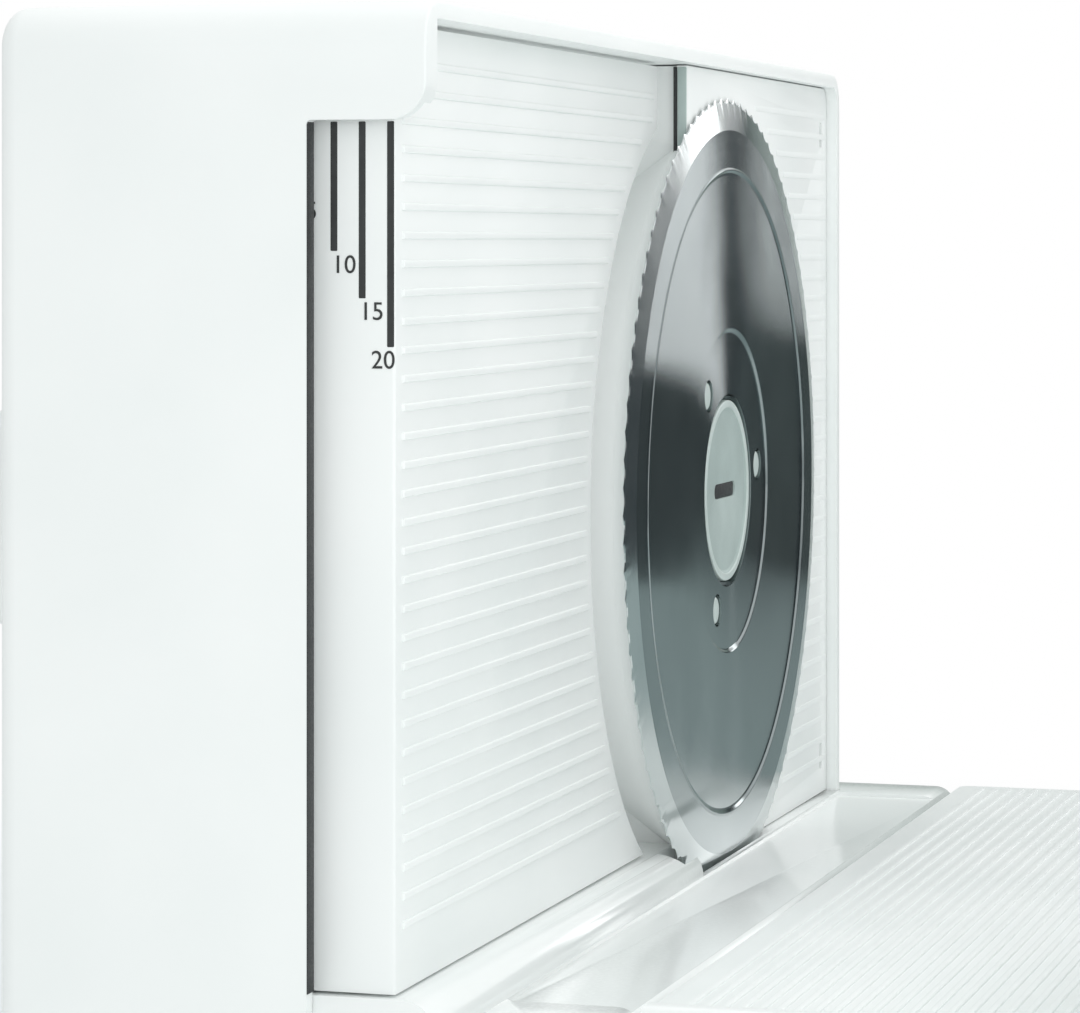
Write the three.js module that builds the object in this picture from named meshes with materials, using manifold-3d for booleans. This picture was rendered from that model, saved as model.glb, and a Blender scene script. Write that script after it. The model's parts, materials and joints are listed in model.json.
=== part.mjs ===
// Electric food slicer: a serrated disc blade on a geared drive, a ribbed stop plate that sets the
// slice thickness, and a ribbed sliding carriage, all carried by an arch-shaped moulded casing.
//
// Millimetres. The model is drawn about the blade: X = 0 is the cutting plane and +X the food side,
// +Y is the way that the food is pushed, and the blade's axle lies on Y = 0, Z = 0.
// At the end the whole group is moved, so that its origin is on the ground below its middle.
import * as THREE from "three";
import { mergeVertices } from "three/addons/utils/BufferGeometryUtils.js";
import Module from "manifold-3d";

const wasm = await Module();
wasm.setup();

// Clearances that all the pieces share
const fit = 0.3;
const running = 0.5;
const overrun = 2;

// Rings and arcs: how many straight steps make a full turn, or a quarter of one
const fineSteps = 40;
const coreSteps = 24;
const middleSteps = 20;
const pinSteps = 12;
const smallSteps = 10;
const screwSteps = 8;
const roundSteps = 3;

// The disc is pressed: it falls back inside its ring, and again to the screw's seat
const blade = {
  radius: 85, edge: 0.25, thickness: 1.15, bevelWidth: 7, ringRadius: 68.6, step: 1.2, ringDrop: 0.4,
  innerRadius: 35, innerFront: -0.7, innerStep: 0.3, seatDrop: 2, bore: 8.5, teeth: 96, toothDepth: 0.9,
  stepsPerTooth: 3,
};
const hub = {
  radius: 19.6, rim: 1.6, dish: 0.5, slotLength: 18, slotWidth: 3.2, slotDepth: 0.7, stemRadius: 7.6,
};
const gear = {
  module: 1.5, teeth: 48, back: -24, front: -14, hubRadius: 13, flangeRadius: 32, flangeBack: -6.5,
  pinCircle: 27, pinRadius: 3.2, pinAngles: [129, 9, 249], pinRecess: 0.1, pinTaper: 0.5,
  pocketDepth: 4, pocketInner: 16, pocketOuter: 30,
};
const pinion = { teeth: 12, angle: -30, spread: 0.25, shaftRadius: 3 };
const wheel = { teeth: 32, width: 5, hubRadius: 8, hubLength: 12 };
const worm = { pitchRadius: 7, length: 16, starts: 4, ringsPerTurn: 16 };
const bush = { wall: 2, flangeWall: 3.4, flange: 1.2, play: 0.3 };
const axle = { radius: 6, front: -15, headRadius: 8.5, headLength: 2.5 };
const bowl = {
  rimGap: 5, rimPlane: -3.1, depth: 30, floorMargin: 16.75, wall: 2.5, bossRadius: 12, bossLength: 9,
};
const motor = {
  radius: 20, topGap: 15, shaftLength: 68, canHeight: 56, wall: 1.6, shaftRadius: 2.5, shaftTail: 5,
  vents: 6, ventCircleShare: 0.62, ventShare: 0.16,
};
const armature = {
  radius: 14, height: 30, rise: 8, slots: 8, slotDepth: 3, slotWidth: 3, commutatorRadius: 8, commutator: 9,
};
const fan = { radius: 17, blades: 8, bladeHeight: 6, disc: 1.4, bladeWall: 1.4, stand: 1.5 };
const bracket = { shelf: 3, side: 23, plate: 3.5, gusset: 3 };
const casing = {
  length: 317, motorRoom: 33.8, backRoom: 5, front: 2, headroom: 9, seamDrop: 1.5, wall: 3,
  endRound: 7, backRound: 4, lip: 3, lipThickness: 1.2, windowEdge: -20.8, windowDrop: 19.9,
  windowRound: 6.5,
};
const base = {
  bladeDip: 6.5, depth: 33.5, overhang: 11.5, wall: 3, tableEdge: 28, edgeRound: 4.6, deckDrop: 14,
  deckEdge: 118, sillRise: 6.5, sillFront: 3, cornerRound: 3, recess: 0.8, recessInset: 40.5, slotMargin: 1,
};
const bottomCover = { thickness: 2.2, inset: 2 };
const foot = { height: 6.2, radius: 11, neckRadius: 8, inset: 18, sole: 2.5 };
const panel = {
  front: -0.6, thickness: 2.2, nearEdge: -32.4, wallInset: 2, wall: 2, holeGap: 2, ribMargin: 3.5,
  ribStart: 8, ribEndGap: 1, markWidth: 2.6, markHeight: 6, markInset: 6.2, markDrop: 11.2, markRise: 8.8,
  postRadius: 4, postInset: 3.5, grooveWidth: 0.7, grooveDepth: 1.2,
};
const stopPlate = {
  setting: 5, thickness: 2.5, nearGap: 4.8, farGap: 7.9, topGap: 0.8, bottomGap: 0.5, returnDepth: 30,
  arcShift: 6, arcClearance: 5.6, ribInset: 6.4, ribPitch: 4.81, ribWidth: 1.3, ribHeight: 0.5,
  ribMargin: 3.6, bareFoot: 10.5,
};
const slice = { maximum: 20 };
const pillar = { farGap: 47.7, wall: 2.5, front: -24, postSide: 8, postDepth: 14, postHeight: 10 };
const guide = {
  nearGap: 10, width: 31, webThickness: 4, backGap: 30.5, blockTop: 60, blockBottom: -50,
  rodHeight: [45, -36], rodRadius: 3.5, rodFront: -26, bossRadius: 8, seatBoss: 10, seatWall: 3.75,
};
const spindle = {
  height: 5, radius: 6, landRadius: 5.8, grooveRadius: 4.3, coreRadius: 4, lead: 24, grooveHalfAngle: 36,
  bossRadius: 12, pinRadius: 1.3, pinSetback: 3, grooveOverrun: 2.5, sides: 12, rings: 12,
};
const knob = { radius: 19, length: 13, lobes: 12, lobeDepth: 1.1, lobeSteps: 3, skirtRadius: 21, skirt: 3 };
const carriage = {
  gap: 1, outerReach: 32, nearGap: 13, overhang: 14, thickness: 2.5, skirt: 10, wall: 2.5, edgeRound: 4.5,
  ribPitch: 3.2, ribWidth: 1.5, ribHeight: 0.45, ribMargin: 6, ribEndGap: 4, sill: 6, sillWidth: 4,
};
const rail = { edgeInset: 26, radius: 4, endInset: [17, 14.5], postWidth: 8, postLength: 7 };
const shoe = { places: [-62, 22], length: 24, width: 18, drop: 1.5 };
const glide = { places: [-74, 30], length: 16, width: 10, edgeInset: 16 };
const guard = {
  edgeInset: 36, thickness: 3.5, nearGap: 4, length: 104, height: 58, round: 26, footWidth: 14, seat: 0.8,
  gripReach: 22, gripHeight: 9, gripRise: 26,
};
const rearCover = {
  thickness: 2.5, vents: 7, ventLength: 34, ventWidth: 2.6, ventPitch: 6, ventY: 70, ventDrop: 25,
};
const mainButton = {
  y: 8, z: 58, radius: 11, stand: 5, edge: 0.9, flangeRadius: 13.5, flangeThickness: 1.8, stem: 14,
  stemRadius: 4, travel: 3,
};
const lockButton = {
  y: -16, z: 58, radius: 5.5, stand: 4, edge: 0.9, flangeRadius: 7.2, flangeThickness: 1.6, stem: 12,
  stemRadius: 2.6, travel: 2.5,
};
const switchBox = { height: 20, width: 34, depth: 12, y: -5, z: 58, standOff: 6 };
const terminal = { width: 20, height: 12, depth: 12, rise: 24, ways: 3, wayWidth: 4 };
const gland = {
  y: 81, rise: 12.5, radius: 6, tip: 4.4, bore: 3.3, stand: 12, flange: 8, flangeThickness: 2,
};
const screw = {
  headRadius: 3.4, headHeight: 1.6, shankRadius: 1.4, length: 9, hole: 1.7, slotWidth: 0.9, slotDepth: 0.7,
};

// Heights: the table lies where the blade dips into its slot, and the casing clears the blade's top
const table = -(blade.radius - base.bladeDip);
const baseBottom = table - base.depth;
const deckTop = table - base.deckDrop;
const sillTop = table + base.sillRise;
const seam = table - casing.seamDrop;
const ground = baseBottom - fit - bottomCover.thickness - foot.height;
const casingTop = blade.radius + casing.headroom;
const innerTop = casingTop - casing.wall;
const windowTop = casingTop - casing.windowDrop;
const plateTop = innerTop - stopPlate.topGap;
const plateBottom = sillTop + stopPlate.bottomGap;
const ribFirst = plateTop - stopPlate.ribInset;

// Depths along X: the bowl and the motor behind it give the casing's back
const bowlFloor = -bowl.depth;
const bowlInside = bowlFloor + bowl.wall;
const motorX = bowlFloor - running - motor.radius;
const casingBack = motorX - motor.radius - casing.backRoom;
const coverFront = casingBack + rearCover.thickness;
const bracketBack = coverFront + overrun;
const panelBack = panel.front - panel.thickness;
const plateFace = -stopPlate.setting;
const plateBack = plateFace - stopPlate.thickness;
const bladeSeat = blade.innerFront - blade.seatDrop;
const seatRadius = hub.radius + 3 * fit;
const gearSeat = blade.innerFront - blade.thickness - fit;
const hubFace = blade.innerFront - gear.pinRecess;
const hubBack = bowlInside + running;

// Gear train: blade gear, pinion on the transfer shaft, worm wheel, and the motor's worm
const gearPitch = gear.module * gear.teeth / 2;
const pinionPitch = gear.module * pinion.teeth / 2;
const wheelPitch = gear.module * wheel.teeth / 2;
const gearDistance = gearPitch + pinionPitch + pinion.spread;
const pinionAngle = THREE.MathUtils.degToRad(pinion.angle);
const transfer = { y: gearDistance * Math.cos(pinionAngle), z: gearDistance * Math.sin(pinionAngle) };
const motorY = transfer.y + wheelPitch + worm.pitchRadius;
const motorTop = innerTop - motor.topGap;
const motorBottom = motorTop - motor.shaftLength;
const addendumShare = 0.8;
const dedendumShare = 1.15;
const toothAddendum = addendumShare * gear.module;
const toothDedendum = dedendumShare * gear.module;
const toothRootShare = 0.36;
const toothTipShare = 0.12;
const wormLead = worm.starts * Math.PI * gear.module;
const bowlRim = blade.radius - bowl.rimGap;
const bowlFloorRadius = gearDistance + bowl.floorMargin;

// Lengths along Y: the motor chamber gives the far end, put on a whole millimetre, and the casing's length
// the near one
const farEnd = Math.round(motorY + casing.motorRoom);
const nearEnd = farEnd - casing.length;
const innerNear = nearEnd + casing.wall;
const innerFar = farEnd - casing.wall;
const baseFar = farEnd + base.overhang;
const plateNear = nearEnd + stopPlate.nearGap;
const plateFar = panel.nearEdge - stopPlate.farGap;
const arcRadius = blade.radius + stopPlate.arcClearance - stopPlate.arcShift;
const pillarFar = nearEnd + pillar.farGap;
const pillarNear = pillarFar - pillar.wall;
const guideLimits = [nearEnd + guide.nearGap, nearEnd + guide.nearGap + guide.width];
const guideY = (guideLimits[0] + guideLimits[1]) / 2;
const guideBack = casingBack + guide.backGap;

// Carriage: its inner edge runs beside the table, and its rail stands on the deck
const carriageInner = base.tableEdge + carriage.gap;
const carriageOuter = base.deckEdge + carriage.outerReach;
const carriageNear = nearEnd + carriage.nearGap;
const carriageFar = farEnd + carriage.overhang;
const railX = base.deckEdge - rail.edgeInset;
const railNear = nearEnd + rail.endInset[0];
const railFar = baseFar - rail.endInset[1];
const guardX = carriageOuter - guard.edgeInset;
const guardNear = carriageNear + guard.nearGap;
const carriageUnder = table - carriage.thickness;
const railHeight = carriageUnder - rail.radius - shoe.drop - fit;

// Materials, one for each finish
const finish = {
  casing: new THREE.MeshStandardMaterial({ color: "#eef1f0", roughness: 0.45, metalness: 0 }),
  steel: new THREE.MeshStandardMaterial({ color: "#8f9a9c", roughness: 0.28, metalness: 1 }),
  grey: new THREE.MeshStandardMaterial({ color: "#aeb9b8", roughness: 0.5, metalness: 0 }),
  rubber: new THREE.MeshStandardMaterial({ color: "#3a3d3e", roughness: 0.9, metalness: 0 }),
  gear: new THREE.MeshStandardMaterial({ color: "#d9d4c4", roughness: 0.55, metalness: 0 }),
  copper: new THREE.MeshStandardMaterial({ color: "#a4623a", roughness: 0.4, metalness: 1 }),
  dark: new THREE.MeshStandardMaterial({ color: "#2a2d2e", roughness: 0.6, metalness: 0 }),
  brass: new THREE.MeshStandardMaterial({ color: "#b08d4c", roughness: 0.4, metalness: 1 }),
};

const object = new THREE.Group();

// Turning geometry into solids and back

function solid(geometry) {
  const plain = geometry.index ? geometry.toNonIndexed() : geometry;
  const bare = new THREE.BufferGeometry();
  bare.setAttribute("position", plain.getAttribute("position"));
  const merged = mergeVertices(bare);
  const vertices = new Float32Array(merged.getAttribute("position").array);
  const corner = (index) => new THREE.Vector3().fromArray(vertices, 3 * index);
  const triangles = [];
  let volume = 0;
  for (let i = 0; i < merged.index.count; i += 3) {
    const [a, b, c] = [0, 1, 2].map((step) => merged.index.getX(i + step));
    if (a === b || b === c || a === c) continue;
    triangles.push([a, b, c]);
    volume += corner(a).dot(corner(b).cross(corner(c)));
  }
  const outward = triangles.flatMap(([a, b, c]) => (volume > 0 ? [a, b, c] : [a, c, b]));
  const triVerts = new Uint32Array(outward);
  return new wasm.Manifold(new wasm.Mesh({ numProp: 3, vertProperties: vertices, triVerts }));
}

const join = (...solids) => solids.reduce((sum, next) => sum.add(next));
const cut = (body, ...tools) => tools.reduce((rest, tool) => rest.subtract(tool), body);
const keep = (body, ...limits) => limits.reduce((rest, limit) => rest.intersect(limit), body);

function addPiece(name, body, material) {
  const mesh = body.getMesh();
  const positions = [];
  for (let i = 0; i < mesh.numVert; i += 1) {
    positions.push(...mesh.vertProperties.slice(i * mesh.numProp, i * mesh.numProp + 3));
  }
  const geometry = new THREE.BufferGeometry();
  geometry.setAttribute("position", new THREE.Float32BufferAttribute(positions, 3));
  geometry.setIndex(Array.from(mesh.triVerts));
  geometry.computeVertexNormals();
  const piece = new THREE.Mesh(geometry, material);
  piece.name = name;
  object.add(piece);
}

// Basic forms, each given by its limits along X, Y and Z

function block([x0, x1], [y0, y1], [z0, z1]) {
  const geometry = new THREE.BoxGeometry(x1 - x0, y1 - y0, z1 - z0);
  return solid(geometry.translate((x0 + x1) / 2, (y0 + y1) / 2, (z0 + z1) / 2));
}

// The limits of something that reaches equally far to both sides of its middle
const around = (middle, width) => [middle - width / 2, middle + width / 2];
const beyond = ([low, high]) => [low - overrun, high + overrun];

function outline(points) {
  return new THREE.Shape(points.map(([u, v]) => new THREE.Vector2(u, v)));
}

const toAxis = {
  x: new THREE.Matrix4().set(0, 0, 1, 0, 1, 0, 0, 0, 0, 1, 0, 0, 0, 0, 0, 1),
  y: new THREE.Matrix4().makeRotationX(Math.PI / 2),
  z: new THREE.Matrix4(),
};

// Extrudes an outline along an axis. The outline is in (Y, Z), (X, Z) or (X, Y).
function extrude(axis, shape, [low, high], curveSegments = roundSteps) {
  const settings = { depth: high - low, bevelEnabled: false, curveSegments };
  const geometry = new THREE.ExtrudeGeometry(shape, settings);
  geometry.translate(0, 0, axis === "y" ? -high : low);
  return solid(geometry.applyMatrix4(toAxis[axis]));
}

function roundedRectangle([u0, u1], [v0, v1], radius) {
  const quarter = Math.PI / 2;
  const shape = new THREE.Shape();
  shape.moveTo(u0 + radius, v0);
  shape.lineTo(u1 - radius, v0);
  shape.absarc(u1 - radius, v0 + radius, radius, -quarter, 0);
  shape.lineTo(u1, v1 - radius);
  shape.absarc(u1 - radius, v1 - radius, radius, 0, quarter);
  shape.lineTo(u0 + radius, v1);
  shape.absarc(u0 + radius, v1 - radius, radius, quarter, 2 * quarter);
  shape.lineTo(u0, v0 + radius);
  shape.absarc(u0 + radius, v0 + radius, radius, 2 * quarter, 3 * quarter);
  return shape;
}

// Revolves a profile of [place along the axis, radius] points, and moves it to its centre line
function turned(axis, profile, steps = middleSteps, centre = [0, 0]) {
  const points = profile.map(([along, radius]) => new THREE.Vector2(radius, along));
  const onAxis = profile[0][1] === 0 && profile.at(-1)[1] === 0;
  if (!onAxis) points.push(points[0].clone());
  const geometry = new THREE.LatheGeometry(points, steps);
  if (axis === "x") geometry.rotateZ(-Math.PI / 2).translate(0, centre[0], centre[1]);
  if (axis === "y") geometry.translate(centre[0], 0, centre[1]);
  if (axis === "z") geometry.rotateX(Math.PI / 2).translate(centre[0], centre[1], 0);
  return solid(geometry);
}

function rod(axis, radius, [low, high], centre = [0, 0], steps = smallSteps) {
  return turned(axis, [[low, 0], [low, radius], [high, radius], [high, 0]], steps, centre);
}

function tube(axis, radius, bore, [low, high], centre = [0, 0], steps = smallSteps) {
  return turned(axis, [[low, bore], [low, radius], [high, radius], [high, bore]], steps, centre);
}

// Copies of a form at equal angles about an upright centre line
function around360(count, form, [centreX, centreY]) {
  return Array.from({ length: count }, (_, i) => (
    form.rotate([0, 0, (360 * i) / count]).translate([centreX, centreY, 0])
  ));
}

// A closed section, given as radii at equal angles, swept along its axis while it turns
function twisted(axis, section, [low, high], rings, turn, centre, startAngle) {
  const count = section.length;
  const positions = [];
  const index = [];
  const place = (u, v, w) => {
    if (axis === "x") positions.push(w, centre[0] + u, centre[1] + v);
    else positions.push(centre[0] + u, centre[1] + v, w);
  };
  for (let ring = 0; ring <= rings; ring += 1) {
    const share = ring / rings;
    section.forEach((radius, i) => {
      const angle = startAngle + turn * share + (2 * Math.PI * i) / count;
      place(radius * Math.cos(angle), radius * Math.sin(angle), low + (high - low) * share);
    });
  }
  place(0, 0, low);
  place(0, 0, high);
  const first = positions.length / 3 - 2;
  for (let i = 0; i < count; i += 1) {
    const next = (i + 1) % count;
    for (let ring = 0; ring < rings; ring += 1) {
      const [a, b] = [ring * count + i, ring * count + next];
      index.push(a, b, b + count, a, b + count, a + count);
    }
    index.push(first, next, i);
    index.push(first + 1, rings * count + i, rings * count + next);
  }
  const geometry = new THREE.BufferGeometry();
  geometry.setAttribute("position", new THREE.Float32BufferAttribute(positions, 3));
  geometry.setIndex(index);
  return solid(geometry);
}

// Straight-sided gear teeth. One tooth's middle points along the start angle.
function gearOutline(pitch, teeth, [centreY, centreZ], startAngle) {
  const step = (2 * Math.PI) / teeth;
  const outer = pitch + toothAddendum;
  const root = pitch - toothDedendum;
  const corners = [
    [root, -toothRootShare], [outer, -toothTipShare], [outer, toothTipShare], [root, toothRootShare],
  ];
  const points = [];
  for (let tooth = 0; tooth < teeth; tooth += 1) {
    for (const [radius, share] of corners) {
      const angle = startAngle + step * (tooth + share);
      points.push([centreY + radius * Math.cos(angle), centreZ + radius * Math.sin(angle)]);
    }
  }
  return outline(points);
}

// The room that the bowl takes, and the outline that everything inside the casing keeps within

function bowlClearance() {
  const roomy = 2 * running;
  return turned("x", [
    [bowlFloor - running, 0], [bowlFloor - running, bowlFloorRadius + roomy],
    [bowl.rimPlane, bowlRim + roomy], [panelBack, bowlRim + roomy], [panelBack, 0],
  ], fineSteps);
}

function insideCasing(depth) {
  const limitsZ = [seam - 2 * casing.endRound, innerTop - fit];
  const shape = roundedRectangle([innerNear + fit, innerFar - fit], limitsZ, casing.endRound - casing.wall);
  return extrude("x", shape, depth);
}

// Base, bottom cover and feet

const footPlaces = [nearEnd + foot.inset, baseFar - foot.inset].flatMap((y) => (
  [casingBack + foot.inset, base.deckEdge - foot.inset].map((x) => [x, y])
));

function makeBase() {
  const outerY = [nearEnd, baseFar];
  const inner = [innerNear + fit, innerFar - fit];
  const ledge = [seam - fit, sillTop + overrun];
  const underCasing = [casingBack - overrun, casing.front + fit];
  const tableShape = roundedRectangle([casingBack, base.tableEdge], outerY, base.cornerRound);
  const deckShape = roundedRectangle([casingBack, base.deckEdge], outerY, base.cornerRound);
  const edgeShape = roundedRectangle([casingBack - 2 * base.edgeRound, base.tableEdge],
    [baseBottom - 2 * base.edgeRound, table], base.edgeRound);
  const edgeLimit = extrude("y", edgeShape, beyond(outerY));
  const tableBody = keep(extrude("z", tableShape, [baseBottom, table]), edgeLimit);
  const sill = new THREE.Shape();
  sill.moveTo(casingBack + fit, table - overrun);
  sill.lineTo(base.sillFront, table - overrun);
  sill.lineTo(base.sillFront, table);
  sill.absarc(base.sillFront - base.sillRise, table, base.sillRise, 0, Math.PI / 2);
  sill.lineTo(casingBack + fit, sillTop);
  const posts = [railNear - rail.postLength, railFar].map((y) => (
    block(around(railX, rail.postWidth), [y, y + rail.postLength],
      [deckTop - overrun, railHeight + rail.radius + fit])
  ));
  const hollowY = [nearEnd + 2 * base.wall, baseFar - 2 * base.wall];
  const hollowTop = -(blade.radius + base.slotMargin + base.wall);
  const bladeSlot = [panelBack - fit, blade.thickness + running];
  const body = cut(
    join(
      tableBody,
      extrude("z", deckShape, [baseBottom, deckTop]),
      extrude("y", sill, [inner[0], panel.nearEdge - fit]),
      ...posts,
    ),
    block(underCasing, [nearEnd - overrun, inner[0]], ledge),
    block(underCasing, [inner[1], farEnd + fit], ledge),
    block([casingBack - overrun, coverFront + fit], [nearEnd - overrun, farEnd + fit], ledge),
    block([casingBack + 2 * base.wall, base.tableEdge - base.wall], hollowY,
      [baseBottom - overrun, hollowTop]),
    block([base.tableEdge + base.wall, base.deckEdge - base.wall], hollowY,
      [baseBottom - overrun, deckTop - base.wall]),
    block([base.sillFront, base.tableEdge + overrun], [nearEnd + base.recessInset, innerFar - base.wall],
      [table - base.recess, table + overrun]),
    rod("x", blade.radius + base.slotMargin, bladeSlot, [0, 0], fineSteps),
    bowlClearance(),
  );
  addPiece("base_plate", body, finish.casing);

  const coverTop = baseBottom - fit;
  const cover = [coverTop - bottomCover.thickness, coverTop];
  const coverShape = roundedRectangle([casingBack + bottomCover.inset, base.deckEdge - bottomCover.inset],
    [nearEnd + bottomCover.inset, baseFar - bottomCover.inset], base.cornerRound);
  const holes = footPlaces.map((place) => rod("z", screw.hole, beyond(cover), place));
  addPiece("bottom_cover", cut(extrude("z", coverShape, cover), ...holes), finish.grey);

  footPlaces.forEach((place, i) => {
    const profile = [
      [cover[0], 0], [cover[0], foot.neckRadius], [ground + foot.sole, foot.neckRadius],
      [ground + foot.sole, foot.radius], [ground, foot.radius], [ground, 0],
    ];
    addPiece(`foot_${i + 1}`, turned("z", profile, smallSteps, place), finish.rubber);
  });
}

// Casing: the arch with its scale window, the guide pillar's wall and its screw posts

const pillarScrewHeights = [innerTop - pillar.postHeight, sillTop + pillar.postHeight];
const pillarScrewY = pillarNear - pillar.postSide / 2;

function makeHousingShell() {
  const depth = [casingBack, casing.front];
  const foot0 = seam - 2 * casing.endRound;
  const side = roundedRectangle([nearEnd, farEnd], [foot0, casingTop], casing.endRound);
  const cavity = roundedRectangle([innerNear, innerFar], [foot0 - overrun, innerTop],
    casing.endRound - casing.wall);
  const end = roundedRectangle([casingBack, casing.front + 2 * casing.backRound],
    [foot0 - casing.endRound, casingTop], casing.backRound);
  const arch = cut(
    keep(extrude("x", side, depth), extrude("y", end, beyond([nearEnd, farEnd]))),
    extrude("x", cavity, beyond(depth)),
    block(beyond(depth), beyond([nearEnd, farEnd]), [foot0 - overrun, seam]),
  );
  const lip = block([casing.front - casing.lipThickness, casing.front],
    [innerNear - fit, innerNear + casing.lip], [windowTop, innerTop + fit]);

  // The window is open to the front, and the wall above it is rounded where the two edges meet
  const window = new THREE.Shape();
  const roundX = casing.front - casing.windowRound;
  const roundZ = windowTop + casing.windowRound;
  window.moveTo(casing.windowEdge, sillTop - overrun);
  window.lineTo(casing.front + overrun, sillTop - overrun);
  window.lineTo(casing.front + overrun, roundZ);
  window.lineTo(casing.front, roundZ);
  window.absarc(roundX, roundZ, casing.windowRound, 0, -Math.PI / 2, true);
  window.lineTo(casing.windowEdge, windowTop);

  const postBack = coverFront + fit;
  const posts = pillarScrewHeights.map((z) => cut(
    block([postBack, postBack + pillar.postDepth], [pillarNear - pillar.postSide, pillarNear + fit],
      around(z, pillar.postHeight)),
    rod("x", screw.hole, [postBack - overrun, postBack + screw.length], [pillarScrewY, z]),
  ));
  const body = join(
    cut(join(arch, lip), extrude("y", window, [nearEnd - overrun, innerNear + casing.lip + overrun])),
    block([casingBack, pillar.front], [pillarNear, pillarFar], [sillTop + fit, innerTop + fit]),
    ...posts,
  );
  addPiece("housing_shell", body, finish.casing);
}

// Motor chamber: the ribbed front panel with its near wall, the rear cover and its screws

const coverScrewsY = [
  panel.nearEdge + panel.wallInset + panel.wall + panel.postInset, innerFar - 2 * panel.postInset,
];
const coverScrewsZ = [table + 2 * panel.postInset, innerTop - 2 * panel.postInset];
const coverScrews = coverScrewsY.flatMap((y) => coverScrewsZ.map((z) => [y, z]));

function ribs(x, along, first, count) {
  const tip = x + stopPlate.ribHeight;
  return Array.from({ length: count }, (_, i) => {
    const middle = first - i * stopPlate.ribPitch;
    const [foot0, foot1] = around(middle, stopPlate.ribWidth);
    const [tip0, tip1] = around(middle, stopPlate.ribWidth / 3);
    return extrude("y", outline([[x - fit, foot0], [tip, tip0], [tip, tip1], [x - fit, foot1]]), along);
  });
}

function makeMotorCover() {
  const bottom = table + fit;
  const top = innerTop - fit;
  const far = innerFar - fit;
  const inside = coverFront + fit;
  const wallNear = panel.nearEdge + panel.wallInset;
  const thick = [panelBack, panel.front];
  const plate = block(thick, [panel.nearEdge, far], [bottom, top]);
  const wall = cut(
    block([inside, panelBack + fit], [wallNear, wallNear + panel.wall], [bottom, top]),
    bowlClearance(),
    block([panelBack - panel.grooveWidth, panelBack], [wallNear - overrun, wallNear + panel.grooveDepth],
      beyond([bottom, top])),
  );
  const ribCount = Math.floor((ribFirst - bottom) / stopPlate.ribPitch);
  const ribLimits = block([panel.front - fit, overrun], [panel.nearEdge, far], [bottom, top]);
  const ribBars = ribs(panel.front, [panel.ribStart, far - panel.ribEndGap], ribFirst, ribCount);
  const ribClear = rod("x", blade.radius + panel.ribMargin, [panel.front - running, overrun], [0, 0],
    fineSteps);
  const marks = [top - panel.markDrop, bottom + panel.markRise].map((z) => (
    block(beyond(thick), around(far - panel.markInset, panel.markWidth), around(z, panel.markHeight))
  ));
  const bossFront = coverFront + screw.length + panel.postRadius;
  const [boss, ...posts] = coverScrews.map((place, i) => (
    rod("x", panel.postRadius, [inside, i ? panelBack + fit : bossFront], place)
  ));
  const screwHoles = coverScrews.map((place) => (
    rod("x", screw.hole, [coverFront - overrun, coverFront + screw.length], place, screwSteps)
  ));
  const ribSet = keep(cut(join(...ribBars), ribClear), ribLimits);
  const body = cut(
    keep(join(plate, ribSet, wall, ...posts, boss), insideCasing([coverFront, overrun])),
    rod("x", blade.innerRadius + panel.holeGap, beyond(thick), [0, 0], fineSteps),
    ...marks,
    ...screwHoles,
  );
  addPiece("motor_cover", body, finish.casing);
}

function makeRearCover() {
  const limitsY = [panel.nearEdge + panel.wallInset, innerFar - fit];
  const limitsZ = [table + fit, innerTop - fit];
  const thick = [casingBack, coverFront];
  const through = beyond(thick);
  const vents = Array.from({ length: rearCover.vents }, (_, i) => {
    const z = innerTop - rearCover.ventDrop - i * rearCover.ventPitch;
    return block(through, around(rearCover.ventY, rearCover.ventLength), around(z, rearCover.ventWidth));
  });
  const holes = [mainButton, lockButton].map((button) => (
    rod("x", button.radius + running, through, [button.y, button.z], middleSteps)
  ));
  const screwHoles = coverScrews.map((place) => rod("x", screw.hole, through, place, screwSteps));
  const cableHole = rod("x", gland.radius + fit, through, [gland.y, glandZ]);
  const plate = keep(block(thick, limitsY, limitsZ), insideCasing(thick));
  addPiece("rear_cover", cut(plate, ...vents, ...holes, ...screwHoles, cableHole), finish.casing);
  coverScrews.forEach((place, i) => makeScrew(`rear_cover_screw_${i + 1}`, place));
}

function makeScrew(name, place) {
  const seat = casingBack - fit;
  const headBack = seat - screw.headHeight;
  const tip = coverFront + screw.length - overrun;
  const profile = [
    [headBack, 0], [headBack, screw.headRadius], [seat, screw.headRadius], [seat, screw.shankRadius],
    [tip, screw.shankRadius], [tip, 0],
  ];
  const slot = block([headBack - overrun, headBack + screw.slotDepth],
    around(place[0], 2 * screw.headRadius), around(place[1], screw.slotWidth));
  addPiece(name, cut(turned("x", profile, screwSteps, place), slot), finish.steel);
}

// Blade, its screw, the drive gear and the axle

const pinPlaces = gear.pinAngles.map((degrees) => {
  const angle = THREE.MathUtils.degToRad(degrees);
  return [gear.pinCircle * Math.cos(angle), gear.pinCircle * Math.sin(angle)];
});

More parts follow.
